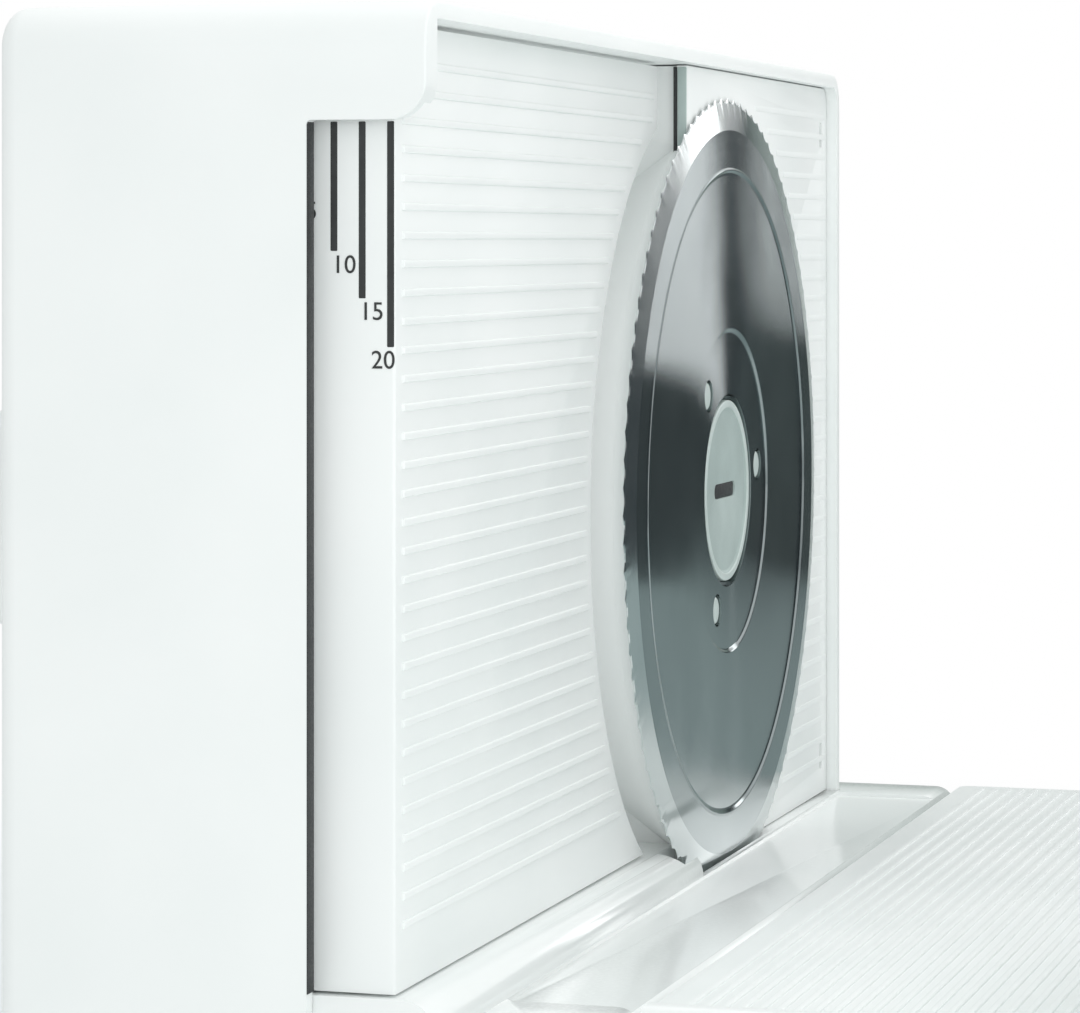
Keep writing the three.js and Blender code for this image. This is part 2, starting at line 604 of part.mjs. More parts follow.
function makeBlade() {
  const count = blade.teeth * blade.stepsPerTooth;
  const points = Array.from({ length: count }, (_, i) => {
    const share = (i % blade.stepsPerTooth) / blade.stepsPerTooth;
    const radius = blade.radius - blade.toothDepth * (1 - (2 * share - 1) ** 2);
    const angle = (2 * Math.PI * i) / count;
    return [radius * Math.cos(angle), radius * Math.sin(angle)];
  });
  const web = blade.thickness - blade.ringDrop;
  const innerBack = blade.innerFront - blade.thickness;
  const seatBack = bladeSeat - blade.thickness;
  const stepBack = seatRadius + blade.thickness;
  const section = turned("x", [
    [0, blade.radius + overrun], [blade.edge, blade.radius + overrun], [blade.edge, blade.radius],
    [blade.thickness, blade.radius - blade.bevelWidth], [blade.thickness, blade.ringRadius + blade.step],
    [web, blade.ringRadius], [web, blade.innerRadius],
    [blade.innerFront, blade.innerRadius - blade.innerStep],
    [blade.innerFront, seatRadius + blade.innerStep],
    [bladeSeat, seatRadius], [bladeSeat, blade.bore], [seatBack, blade.bore], [seatBack, stepBack],
    [innerBack, stepBack + blade.innerStep],
    [innerBack, blade.innerRadius - blade.innerStep + blade.thickness],
    [0, blade.innerRadius + blade.thickness],
  ], fineSteps);
  const through = beyond([seatBack, blade.thickness]);
  const disc = keep(section, extrude("x", outline(points), through));
  const pinHoles = pinPlaces.map((place) => rod("x", gear.pinRadius + fit, through, place));
  addPiece("blade", cut(disc, ...pinHoles), finish.steel);
}

function makeBladeScrew() {
  const seat = bladeSeat + fit;
  const floor = hubFace - hub.dish;
  const stemEnd = axle.front + 2 * running;
  const profile = [
    [stemEnd, 0], [stemEnd, hub.stemRadius], [seat, hub.stemRadius], [seat, hub.radius],
    [hubFace - hub.rim / 2, hub.radius], [hubFace, hub.radius - hub.rim / 2],
    [hubFace, hub.radius - hub.rim],
    [floor, hub.radius - hub.rim - hub.dish], [floor, 0],
  ];
  const coinSlot = block([floor - hub.slotDepth, hubFace + overrun], around(0, hub.slotLength),
    around(0, hub.slotWidth));
  addPiece("blade_screw", cut(turned("x", profile, middleSteps), coinSlot), finish.grey);
}

function makeDriveGear() {
  const back = gear.front - fit;
  const dip = bladeSeat - blade.thickness - fit;
  const dipRadius = seatRadius + blade.thickness + blade.innerStep + fit;
  const pinSeat = gear.flangeBack + running;
  const toothed = gearOutline(gearPitch, gear.teeth, [0, 0], pinionAngle + Math.PI / gear.teeth);
  const wheelBody = extrude("x", toothed, [gear.back, gear.front]);
  const hubBody = rod("x", gear.hubRadius, [hubBack, dip], [0, 0], middleSteps);
  const flange = turned("x", [
    [back, 0], [back, gear.hubRadius + bush.wall], [gear.flangeBack, gear.flangeRadius],
    [gearSeat, gear.flangeRadius], [gearSeat, dipRadius], [dip, dipRadius], [dip, 0],
  ], middleSteps);
  const pocketLimits = [gear.back - overrun, gear.back + gear.pocketDepth];
  const pocket = tube("x", gear.pocketOuter, gear.pocketInner, pocketLimits, [0, 0], middleSteps);
  const bushSeat = [hubBack - overrun, axle.front + running];
  const bore = rod("x", axle.radius + bush.wall + fit, bushSeat, [0, 0], middleSteps);
  const thread = rod("x", hub.stemRadius + fit, [axle.front, overrun], [0, 0], middleSteps);
  const pinSeats = pinPlaces.map((place) => rod("x", gear.pinRadius + fit, [pinSeat, overrun], place));
  const body = cut(join(wheelBody, hubBody, flange), pocket, bore, thread, ...pinSeats);
  addPiece("drive_gear", body, finish.gear);
  const gearBush = tube("x", axle.radius + bush.wall, axle.radius + bush.play, [hubBack, axle.front - fit],
    [0, 0], middleSteps);
  addPiece("gear_bush", gearBush, finish.brass);
  pinPlaces.forEach((place, i) => {
    const profile = [
      [pinSeat + fit, 0], [pinSeat + fit, gear.pinRadius], [hubFace - gear.pinTaper, gear.pinRadius],
      [hubFace, gear.pinRadius - gear.pinTaper], [hubFace, 0],
    ];
    addPiece(`drive_pin_${i + 1}`, turned("x", profile, smallSteps, place), finish.gear);
  });
}

function makeBowl() {
  const bore = axle.radius + fit;
  const profile = [
    [bowlFloor, bore], [bowlFloor, bowlFloorRadius], [bowl.rimPlane, bowlRim],
    [bowl.rimPlane, bowlRim - bowl.wall], [bowlInside, bowlFloorRadius - bowl.wall], [bowlInside, bore],
  ];
  const bossLimits = [bowlFloor - bowl.bossLength, bowlFloor + fit];
  const boss = tube("x", bowl.bossRadius, bore, bossLimits, [0, 0], middleSteps);
  const bushHole = rod("x", pinion.shaftRadius + bush.wall + fit, beyond([bowlFloor, bowlInside]),
    [transfer.y, transfer.z]);
  addPiece("blade_bowl", cut(join(turned("x", profile, fineSteps), boss), bushHole), finish.casing);
  const back = bowlFloor - bowl.bossLength - fit;
  const axleProfile = [
    [back - axle.headLength, 0], [back - axle.headLength, axle.headRadius], [back, axle.headRadius],
    [back, axle.radius], [axle.front, axle.radius], [axle.front, 0],
  ];
  addPiece("blade_axle", turned("x", axleProfile, middleSteps), finish.steel);
}

// Transfer shaft: pinion, worm wheel and their two bushes

function makeTransfer() {
  const centre = [transfer.y, transfer.z];
  const wheelLimits = around(motorX, wheel.width);
  const seat = pinion.shaftRadius + fit;
  const toothed = gearOutline(pinionPitch, pinion.teeth, centre, pinionAngle + Math.PI);
  const pinionBody = extrude("x", toothed, [gear.back, gear.front]);
  const pinionBore = rod("x", seat, beyond([gear.back, gear.front]), centre);
  addPiece("pinion", cut(pinionBody, pinionBore), finish.steel);
  const shaft = rod("x", pinion.shaftRadius, [bracketBack + fit, gear.front + fit], centre);
  addPiece("transfer_shaft", shaft, finish.steel);
  const [low, high] = [wheelPitch - toothDedendum, wheelPitch + toothAddendum];
  const section = Array.from({ length: wheel.teeth }, () => [low, high, high, low, low]).flat();
  const slope = wormLead / (2 * Math.PI * worm.pitchRadius);
  const twist = slope * wheel.width / wheelPitch;
  const toothMiddle = 3 * Math.PI / section.length;
  const startAngle = Math.PI / wheel.teeth - toothMiddle - twist / 2;
  const rim = twisted("x", section, wheelLimits, 1, twist, centre, startAngle);
  const hubLimits = around(motorX, wheel.width + wheel.hubLength);
  const wheelBody = join(rim, rod("x", wheel.hubRadius, hubLimits, centre));
  addPiece("worm_wheel", cut(wheelBody, rod("x", seat, beyond(hubLimits), centre)), finish.gear);
  const bushes = [
    ["shaft_bush_front", bowlFloor, bowlInside],
    ["shaft_bush_rear", bracketBack, bracketBack + bracket.plate],
  ];
  for (const [name, back, front] of bushes) {
    const bore = pinion.shaftRadius + bush.play;
    const radius = pinion.shaftRadius + bush.wall;
    const flangeRadius = pinion.shaftRadius + bush.flangeWall;
    const flange = [front + fit, front + fit + bush.flange];
    const profile = [
      [back, bore], [back, radius], [flange[0], radius], [flange[0], flangeRadius],
      [flange[1], flangeRadius], [flange[1], bore],
    ];
    addPiece(name, turned("x", profile, smallSteps, centre), finish.brass);
  }
}

// Motor: can, cap, rotor with its worm and fan, and the bracket that holds them

function makeMotor() {
  const centre = [motorX, motorY];
  const top = motorBottom + motor.canHeight;
  const floor = motorBottom + motor.wall;
  const shaftHole = motor.shaftRadius + running;
  const canProfile = [
    [motorBottom, shaftHole], [motorBottom, motor.radius], [top, motor.radius],
    [top, motor.radius - motor.wall], [floor, motor.radius - motor.wall], [floor, shaftHole],
  ];
  addPiece("motor_can", turned("z", canProfile, middleSteps, centre), finish.steel);
  const capLimits = [top + fit, top + fit + motor.wall];
  const cap = tube("z", motor.radius, shaftHole, capLimits, centre, middleSteps);
  const vent = rod("z", motor.radius * motor.ventShare, beyond(capLimits),
    [motor.radius * motor.ventCircleShare, 0], screwSteps);
  addPiece("motor_cap", cut(cap, ...around360(motor.vents, vent, centre)), finish.dark);

  const wormLimits = around(transfer.z, worm.length);
  const shaft = rod("z", motor.shaftRadius, [wormLimits[0] - motor.shaftTail, motorTop], centre);
  addPiece("motor_shaft", shaft, finish.steel);

  const bore = motor.shaftRadius + fit;
  const coreLimits = [motorBottom + armature.rise, motorBottom + armature.rise + armature.height];
  const core = tube("z", armature.radius, bore, coreLimits, centre, coreSteps);
  const slot = block([armature.radius - armature.slotDepth, armature.radius + overrun],
    around(0, armature.slotWidth), beyond(coreLimits));
  const commutator = tube("z", armature.commutatorRadius, bore,
    [coreLimits[1] - fit, coreLimits[1] + armature.commutator], centre);
  const slots = around360(armature.slots, slot, centre);
  addPiece("armature", join(cut(core, ...slots), commutator), finish.copper);

  const turns = worm.length / wormLead;
  const crest = worm.pitchRadius + toothAddendum;
  const root = worm.pitchRadius - toothDedendum;
  const section = Array.from({ length: worm.starts }, () => [crest, crest, root, root]).flat();
  const startAngle = -Math.PI / 2 - turns * Math.PI - Math.PI / section.length;
  const rings = Math.round(turns * worm.ringsPerTurn);
  const thread = twisted("z", section, wormLimits, rings, turns * 2 * Math.PI, centre, startAngle);
  addPiece("worm", cut(thread, rod("z", bore, beyond(wormLimits), centre)), finish.steel);

  const discLow = capLimits[1] + fan.stand;
  const discTop = discLow + fan.disc;
  const disc = tube("z", fan.radius, bore, [discLow, discTop], centre, coreSteps);
  const fanBlade = block([motor.shaftRadius + 2 * fan.bladeWall, fan.radius - fan.bladeWall],
    around(0, fan.bladeWall), [discTop - fit, discTop + fan.bladeHeight]);
  addPiece("fan", join(disc, ...around360(fan.blades, fanBlade, centre)), finish.dark);

  const shelfLimits = [motorBottom - fit - bracket.shelf, motorBottom - fit];
  const plateLimits = [bracketBack, bracketBack + bracket.plate];
  const shelf = block([bracketBack, motorX + motor.radius], around(motorY, 2 * bracket.side), shelfLimits);
  const plate = block(plateLimits, [transfer.y - wheel.hubRadius, motorY], [sillTop + fit, shelfLimits[1]]);
  const bushHole = rod("x", pinion.shaftRadius + bush.wall + fit, beyond(plateLimits),
    [transfer.y, transfer.z]);
  const rotorHole = rod("z", motor.shaftRadius + 2 * running, beyond(shelfLimits), centre);
  const gusset = block([bracketBack, motorX + motor.radius / 2],
    [motorY + bracket.side - bracket.gusset, motorY + bracket.side],
    [shelfLimits[1] - motor.radius, shelfLimits[1]]);
  addPiece("motor_bracket", cut(join(shelf, plate, gusset), bushHole, rotorHole), finish.steel);
}

// Stop plate, the block that guides it, its rods, spindle and knob

function makeStopPlate() {
  const limitsZ = [plateBottom, plateTop];
  const thick = [plateBack, plateFace];
  const plate = block(thick, [plateNear, plateFar], limitsZ);
  const side = block([plateFace - stopPlate.returnDepth, plateFace],
    [plateNear, plateNear + stopPlate.thickness], limitsZ);
  const arcCentre = [-stopPlate.arcShift, 0];
  const ribCount = Math.floor((ribFirst - plateBottom - stopPlate.bareFoot) / stopPlate.ribPitch) + 1;
  const ribY = [plateNear + stopPlate.ribMargin, plateFar - stopPlate.ribMargin];
  const ribBars = ribs(plateFace, ribY, ribFirst, ribCount);
  const ribEnds = rod("x", arcRadius + stopPlate.ribMargin, beyond(thick), arcCentre, fineSteps);
  const body = cut(
    join(plate, side, cut(join(...ribBars), ribEnds)),
    rod("x", arcRadius, beyond(thick), arcCentre, fineSteps),
  );
  addPiece("stop_plate", body, finish.casing);
}

function makeGuide() {
  const blockFront = plateBack - fit;
  const bossLimits = [guideBack, blockFront];
  const boreLimits = [guideBack - overrun, blockFront - overrun];
  const spindlePlace = [guideY, spindle.height];
  const rodPlaces = guide.rodHeight.map((z) => [guideY, z]);
  const web = block([blockFront - guide.webThickness, blockFront], guideLimits,
    [guide.blockBottom, guide.blockTop]);
  const rib = block([guideBack + guide.bossRadius, blockFront], around(guideY, guide.webThickness),
    guide.rodHeight.toReversed());
  const pinX = guideBack + spindle.pinSetback;
  const pinSeatLimits = [spindle.height, spindle.height + 2 * spindle.bossRadius];
  const pinSeat = rod("z", spindle.pinRadius + fit, pinSeatLimits, [pinX, guideY], pinSteps);
  const body = cut(
    join(web, rib, rod("x", spindle.bossRadius, bossLimits, spindlePlace),
      ...rodPlaces.map((place) => rod("x", guide.bossRadius, bossLimits, place))),
    rod("x", spindle.radius + running, boreLimits, spindlePlace),
    ...rodPlaces.map((place) => rod("x", guide.rodRadius + running / 2, boreLimits, place)),
    pinSeat,
  );
  addPiece("guide_block", body, finish.gear);
  const pinFoot = spindle.height + (spindle.grooveRadius + spindle.radius) / 2;
  const pinLimits = [pinFoot, spindle.height + spindle.bossRadius];
  const pin = rod("z", spindle.pinRadius, pinLimits, [pinX, guideY], pinSteps);
  addPiece("follower_pin", pin, finish.steel);

  ["upper", "lower"].forEach((name, i) => {
    const guideRod = rod("x", guide.rodRadius, [coverFront + fit, guide.rodFront], rodPlaces[i]);
    addPiece(`guide_rod_${name}`, guideRod, finish.steel);
  });

  const thick = [casingBack, coverFront];
  const through = beyond(thick);
  const plate = block(thick, [innerNear + fit, pillarNear - fit], [sillTop + fit, innerTop - fit]);
  const seatLimits = [coverFront - fit, coverFront + guide.seatBoss];
  const rodBosses = rodPlaces.map((place) => (
    tube("x", guide.rodRadius + guide.seatWall, guide.rodRadius + fit, seatLimits, place)
  ));
  const screwPlaces = pillarScrewHeights.map((z) => [pillarScrewY, z]);
  const cover = cut(
    join(keep(plate, insideCasing(thick)), ...rodBosses),
    rod("x", spindle.radius + running, through, spindlePlace),
    ...screwPlaces.map((place) => rod("x", screw.hole, through, place, screwSteps)),
  );
  addPiece("pillar_cover", cover, finish.casing);
  screwPlaces.forEach((place, i) => makeScrew(`pillar_cover_screw_${i + 1}`, place));
  makeSpindle(spindlePlace, pinX);
}

function makeSpindle(place, pinX) {
  const half = THREE.MathUtils.degToRad(spindle.grooveHalfAngle);
  const section = Array.from({ length: spindle.sides }, (_, i) => {
    const angle = (2 * Math.PI * i) / spindle.sides;
    const away = Math.min(angle, 2 * Math.PI - angle);
    return away < half ? spindle.grooveRadius : spindle.landRadius;
  });
  const back = slice.maximum - stopPlate.setting + spindle.grooveOverrun;
  const limits = [pinX - back, pinX + stopPlate.setting + spindle.grooveOverrun];
  const turnPerLength = (2 * Math.PI) / spindle.lead;
  const turn = (limits[1] - limits[0]) * turnPerLength;
  const startAngle = Math.PI / 2 - back * turnPerLength;
  const grooved = twisted("x", section, limits, spindle.rings, turn, place, startAngle);
  const collar = [coverFront + fit, coverFront + fit + bush.wall];
  const knobFront = casingBack - running;
  const knobBack = knobFront - knob.length;
  const body = join(
    grooved,
    rod("x", spindle.coreRadius, [knobBack + knob.skirt, guide.rodFront - fit], place),
    rod("x", spindle.radius, [limits[1] - fit, guide.rodFront], place),
    rod("x", spindle.radius, [knobFront - knob.skirt, limits[0] + fit], place),
    rod("x", spindle.radius + bush.wall, collar, place),
  );
  addPiece("adjust_spindle", body, finish.steel);

  const count = knob.lobes * knob.lobeSteps;
  const lobes = Array.from({ length: count }, (_, i) => {
    const angle = (2 * Math.PI * i) / count;
    const radius = knob.radius - knob.lobeDepth * (1 - Math.cos(knob.lobes * angle)) / 2;
    return [place[0] + radius * Math.cos(angle), place[1] + radius * Math.sin(angle)];
  });
  const grip = extrude("x", outline(lobes), [knobBack, knobFront]);
  const crown = turned("x", [
    [knobBack, 0], [knobBack, knob.radius - knob.skirt], [knobBack + knob.skirt, knob.radius],
    [knobFront, knob.radius + fit], [knobFront, 0],
  ], middleSteps, place);
  const skirt = turned("x", [
    [knobFront - knob.skirt, 0], [knobFront - knob.skirt, knob.radius - knob.lobeDepth],
    [knobFront - knob.skirt / 2, knob.skirtRadius], [knobFront, knob.skirtRadius], [knobFront, 0],
  ], middleSteps, place);
  const socket = join(
    rod("x", spindle.radius + fit, [knobFront - knob.skirt - fit, knobFront + overrun], place),
    rod("x", spindle.coreRadius + fit, [knobBack + knob.skirt - fit, knobFront], place),
  );
  addPiece("thickness_knob", cut(join(keep(grip, crown), skirt), socket), finish.grey);
}

// Carriage with its rail, shoes, glides and hand guard

const guardFar = guardNear + guard.length;
const guardFootY = [guardNear + guard.round / 2, guardFar - guard.round / 2];
const guardBottom = table - guard.seat + fit;

function makeCarriage() {
  const limitsX = [carriageInner, carriageOuter];
  const limitsY = [carriageNear, carriageFar];
  const hollowX = [carriageInner + carriage.wall, carriageOuter - carriage.wall];
  const hollowY = [carriageNear + carriage.wall, carriageFar - carriage.wall];
  const skirtBottom = table - carriage.skirt;
  const below = [skirtBottom - overrun, carriageUnder];
  const edgeShape = roundedRectangle([carriageInner, carriageOuter + 2 * carriage.edgeRound],
    [skirtBottom - 2 * carriage.edgeRound, table], carriage.edgeRound);
  const shell = cut(
    extrude("z", roundedRectangle(limitsX, limitsY, base.cornerRound), [skirtBottom, table]),
    block(hollowX, hollowY, below),
    block(around(railX, rail.postWidth + 4 * running), beyond(limitsY), below),
  );
  const ribY = [carriageNear + carriage.sillWidth, carriageFar - carriage.ribEndGap];
  const ribCount = Math.floor((guardX - 2 * carriage.ribMargin - carriageInner) / carriage.ribPitch);
  const ribBars = Array.from({ length: ribCount }, (_, i) => {
    const x = carriageInner + carriage.ribMargin + i * carriage.ribPitch;
    const [foot0, foot1] = around(x, carriage.ribWidth);
    const [tip0, tip1] = around(x, carriage.ribWidth / 2);
    const top = table + carriage.ribHeight;
    const section = outline([[foot0, table - fit], [foot1, table - fit], [tip1, top], [tip0, top]]);
    return extrude("y", section, ribY);
  });
  const sill = block([carriageInner + carriage.ribMargin, carriageOuter - carriage.ribMargin],
    [carriageNear + fit, carriageNear + carriage.sillWidth], [table - fit, table + carriage.sill]);
  const seatLimits = [table - guard.seat, table + overrun];
  const seat = join(
    block([guardX - running, guardX + guard.thickness + running], [guardNear - running, guardFar + running],
      seatLimits),
    block([guardX, guardX + guard.footWidth + running], [guardFootY[0] - running, guardFootY[1] + running],
      seatLimits),
  );
  const body = join(cut(keep(shell, extrude("y", edgeShape, beyond(limitsY))), seat), sill, ...ribBars);
  addPiece("carriage_plate", body, finish.casing);

  const railPlace = [railX, railHeight];
  const railRod = rod("y", rail.radius, [railNear + fit, railFar - fit], railPlace);
  addPiece("carriage_rail", railRod, finish.steel);
  shoe.places.forEach((y, i) => {
    const body0 = block(around(railX, shoe.width), around(y, shoe.length),
      [railHeight - rail.radius + fit, carriageUnder - fit]);
    const bore = rod("y", rail.radius + running / 2, around(y, 2 * shoe.length), railPlace);
    addPiece(`slide_shoe_${i + 1}`, cut(body0, bore), finish.gear);
  });
  const glideX = base.tableEdge + glide.edgeInset;
  glide.places.forEach((y, i) => {
    const [left, right] = around(glideX, glide.width);
    const [footLeft, footRight] = around(glideX, glide.width / 2);
    const foot0 = deckTop + fit;
    const knee = foot0 + glide.width / 4;
    const top = carriageUnder - fit;
    const shape = outline([
      [left, top], [left, knee], [footLeft, foot0], [footRight, foot0], [right, knee], [right, top],
    ]);
    addPiece(`carriage_glide_${i + 1}`, extrude("y", shape, around(y, glide.length)), finish.gear);
  });
  makeGuard();
}

function makeGuard() {
  const top = guardBottom + guard.height;
  const smallRound = guard.round / 2;
  const side = new THREE.Shape();
  side.moveTo(guardNear, guardBottom);
  side.lineTo(guardFar, guardBottom);
  side.lineTo(guardFar, top - guard.round);
  side.absarc(guardFar - guard.round, top - guard.round, guard.round, 0, Math.PI / 2);
  side.lineTo(guardNear + smallRound, top);
  side.absarc(guardNear + smallRound, top - smallRound, smallRound, Math.PI / 2, Math.PI);
  const wall = extrude("x", side, [guardX, guardX + guard.thickness]);
  const flange = block([guardX, guardX + guard.footWidth], guardFootY,
    [guardBottom, guardBottom + guard.thickness]);
  const gripLow = guardBottom + guard.gripRise;
  const gripShape = roundedRectangle([guardNear + guard.round, guardFar - guard.round],
    [gripLow, gripLow + guard.gripHeight], guard.gripHeight / 2 - fit);
  const grip = extrude("x", gripShape, [guardX + guard.thickness - fit, guardX + guard.gripReach]);
  addPiece("carriage_guard", join(wall, flange, grip), finish.casing);
}

// Buttons, switch, terminal block and cable gland

const glandZ = table + gland.rise;

function makeButton(name, button) {
  const outer = casingBack - button.stand;
  const flange = [coverFront + fit, coverFront + fit + button.flangeThickness];
  const stemEnd = coverFront + fit + button.stem;
  const profile = [
    [outer, 0], [outer, button.radius - button.edge / 2], [outer + button.edge, button.radius],
    [flange[0], button.radius], [flange[0], button.flangeRadius], [flange[1], button.flangeRadius],
    [flange[1], button.stemRadius], [stemEnd, button.stemRadius], [stemEnd, 0],
  ];
  addPiece(name, turned("x", profile, middleSteps, [button.y, button.z]), finish.grey);
}

function makeSwitch() {
  const reach = Math.max(...[mainButton, lockButton].map((button) => button.stem + button.travel));
  const front = coverFront + 2 * fit + reach;
  const body = block([front, front + switchBox.depth], around(switchBox.y, switchBox.width),
    around(switchBox.z, switchBox.height));
  const standOff = block([front + switchBox.depth - fit, bowlFloor - fit],
    around(switchBox.y, switchBox.width / 2), around(switchBox.z, switchBox.standOff));
  addPiece("micro_switch", join(body, standOff), finish.dark);

  const terminalZ = glandZ + terminal.rise;
  const ways = Array.from({ length: terminal.ways }, (_, i) => {
    const y = gland.y + (i - (terminal.ways - 1) / 2) * (terminal.width / terminal.ways);
    return block([coverFront, coverFront + terminal.depth / 2], around(y, terminal.wayWidth),
      around(terminalZ, terminal.wayWidth));
  });
  const terminalBody = block([coverFront + fit, coverFront + terminal.depth],
    around(gland.y, terminal.width), around(terminalZ, terminal.height));
  addPiece("terminal_block", cut(terminalBody, ...ways), finish.gear);

  const tip = casingBack - gland.stand;
  const flange = [coverFront + fit, coverFront + fit + gland.flangeThickness];
  const glandProfile = [
    [tip, gland.bore], [tip, gland.tip], [casingBack - fit, gland.radius], [flange[0], gland.radius],
    [flange[0], gland.flange], [flange[1], gland.flange], [flange[1], gland.bore],
  ];
  addPiece("cable_gland", turned("x", glandProfile, smallSteps, [gland.y, glandZ]), finish.dark);
}

makeBase();
makeHousingShell();
makeMotorCover();
makeRearCover();
makeBlade();
makeBladeScrew();
makeDriveGear();
makeBowl();
makeTransfer();
makeMotor();
makeStopPlate();
makeGuide();
makeCarriage();
makeButton("switch_button", mainButton);
makeButton("safety_button", lockButton);
makeSwitch();

// The origin goes to the ground, below the middle of everything
const reachX = [casingBack - running - knob.length, carriageOuter];
const reachY = [nearEnd, carriageFar];
object.position.set(-(reachX[0] + reachX[1]) / 2, -(reachY[0] + reachY[1]) / 2, -ground);

export default object;
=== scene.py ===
import json
import math

import bpy
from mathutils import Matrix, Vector


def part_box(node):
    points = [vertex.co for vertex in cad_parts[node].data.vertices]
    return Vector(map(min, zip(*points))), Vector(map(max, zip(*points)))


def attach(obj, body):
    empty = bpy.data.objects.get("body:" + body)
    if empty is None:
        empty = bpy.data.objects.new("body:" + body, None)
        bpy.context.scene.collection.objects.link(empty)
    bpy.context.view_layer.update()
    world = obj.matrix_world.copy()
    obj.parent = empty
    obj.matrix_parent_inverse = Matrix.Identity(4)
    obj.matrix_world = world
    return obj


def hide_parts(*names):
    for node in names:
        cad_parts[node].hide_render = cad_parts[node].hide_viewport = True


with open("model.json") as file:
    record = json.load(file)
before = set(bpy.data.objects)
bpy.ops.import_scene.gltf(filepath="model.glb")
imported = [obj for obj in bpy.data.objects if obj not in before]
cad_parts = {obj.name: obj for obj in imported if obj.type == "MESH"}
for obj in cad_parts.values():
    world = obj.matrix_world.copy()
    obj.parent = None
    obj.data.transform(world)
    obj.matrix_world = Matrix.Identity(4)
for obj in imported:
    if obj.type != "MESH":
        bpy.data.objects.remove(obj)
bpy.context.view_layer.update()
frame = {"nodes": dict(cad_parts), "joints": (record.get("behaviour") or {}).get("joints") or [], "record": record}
print("frame loaded", len(frame["nodes"]), "pieces")

# Sizes are in millimetres from the middle of the blade: +X the food side, +Y away, +Z up.
# A round is given as its radius and its number of segments, and the outline of a turned piece
# as pairs of a place along its axis and a distance from it
mm = 0.001
bladeMiddle = Vector(next(j["pos_m"] for j in frame["joints"] if j["name"] == "blade_spin"))
fullTurn = 2 * math.pi
near = 0.01  # how close two places are when they count as the same
past = 2  # how far a cutting tool reaches beyond what it cuts
axes = {"x": Vector((1, 0, 0)), "y": Vector((0, 1, 0)), "z": Vector((0, 0, 1))}


def place(x, y, z):
    return bladeMiddle + Vector((x, y, z)) * mm


def measured(point):
    # the opposite of place
    return (point - bladeMiddle) / mm


def beyond(low, high):
    return low - past, high + past


# Modelling tools

def deselect():
    if bpy.context.mode != "OBJECT":
        bpy.ops.object.mode_set(mode="OBJECT")
    bpy.ops.object.select_all(action="DESELECT")


def only(piece):
    deselect()
    piece.select_set(True)
    bpy.context.view_layer.objects.active = piece
    return piece


def settle(piece):
    # the place goes into the mesh, so that the object itself stays at the origin
    only(piece)
    bpy.ops.object.transform_apply(location=True, rotation=True, scale=True)
    return piece


def named(name):
    piece = bpy.context.object
    piece.name = name
    piece.data.name = name
    return piece


def box(name, *limits):
    # between a low and a high limit along X, Y and Z
    deselect()
    bpy.ops.mesh.primitive_cube_add(size=1, location=place(*[sum(pair) / 2 for pair in limits]))
    piece = named(name)
    piece.scale = [(high - low) * mm for low, high in limits]
    return settle(piece)


def cylinder(name, radius, limits, vertices, centre=(0, 0), axis="x"):
    middle, turn = {
        "x": ((sum(limits) / 2, *centre), (0, math.pi / 2, 0)),
        "y": ((centre[0], sum(limits) / 2, centre[1]), (math.pi / 2, 0, 0)),
    }[axis]
    deselect()
    bpy.ops.mesh.primitive_cylinder_add(vertices=vertices, radius=radius * mm, rotation=turn,
                                        depth=(limits[1] - limits[0]) * mm,
                                        location=place(*middle))
    return settle(named(name))


def spun(name, profile, centre=(0, 0, 0), steps=96, angle=fullTurn, axis="x"):
    # half an outline is drawn point by point, turned about its centre line, and its seam closed
    along = axes[axis]
    out = axes["y" if axis == "x" else "x"]
    middle = place(*centre)
    points = [middle + (along * a + out * r) * mm for a, r in profile]
    deselect()
    bpy.ops.mesh.primitive_plane_add(size=mm, location=points[0])
    piece = named(name)
    bpy.ops.object.mode_set(mode="EDIT")
    bpy.ops.mesh.select_mode(type="VERT")
    bpy.ops.mesh.select_all(action="SELECT")
    bpy.ops.mesh.merge(type="CENTER")
    for start, end in zip(points, points[1:]):
        bpy.ops.mesh.extrude_region_move(TRANSFORM_OT_translate={"value": end - start})
    bpy.ops.mesh.select_all(action="SELECT")
    bpy.ops.mesh.spin(steps=steps, angle=angle, center=middle, axis=along)
    closeSeams()
    return settle(piece)


def closeSeams():
    # starts in edit mode, and ends in object mode
    bpy.ops.mesh.select_all(action="SELECT")
    bpy.ops.mesh.remove_doubles(threshold=near * mm)
    bpy.ops.mesh.normals_make_consistent(inside=False)
    bpy.ops.object.mode_set(mode="OBJECT")


arcs = {"steps": 4, "share": 2.2}  # an arc takes at most 1 / share of each line beside it


def rounded(profile, radius):
    # replaces each inner corner of a profile by a small arc
    points = [profile[0]]
    for before, middle, after in zip(profile, profile[1:], profile[2:]):
        a, b, c = (Vector(p) for p in (before, middle, after))
        reach = min(radius, (a - b).length / arcs["share"], (c - b).length / arcs["share"])
        start = b + (a - b).normalized() * reach
        end = b + (c - b).normalized() * reach
        for i in range(arcs["steps"] + 1):
            t = i / arcs["steps"]
            points.append(tuple((1 - t) ** 2 * start + 2 * t * (1 - t) * b + t ** 2 * end))
    return points + [profile[-1]]


def useModifier(piece, kind, **settings):
    only(piece)
    modifier = piece.modifiers.new(kind.lower(), kind)
    for name, value in settings.items():
        setattr(modifier, name, value)
    bpy.ops.object.modifier_apply(modifier=modifier.name)
    return piece


def joined(name, pieces):
    only(pieces[0])
    for piece in pieces:
        piece.select_set(True)
    if len(pieces) > 1:
        bpy.ops.object.join()
    return named(name)


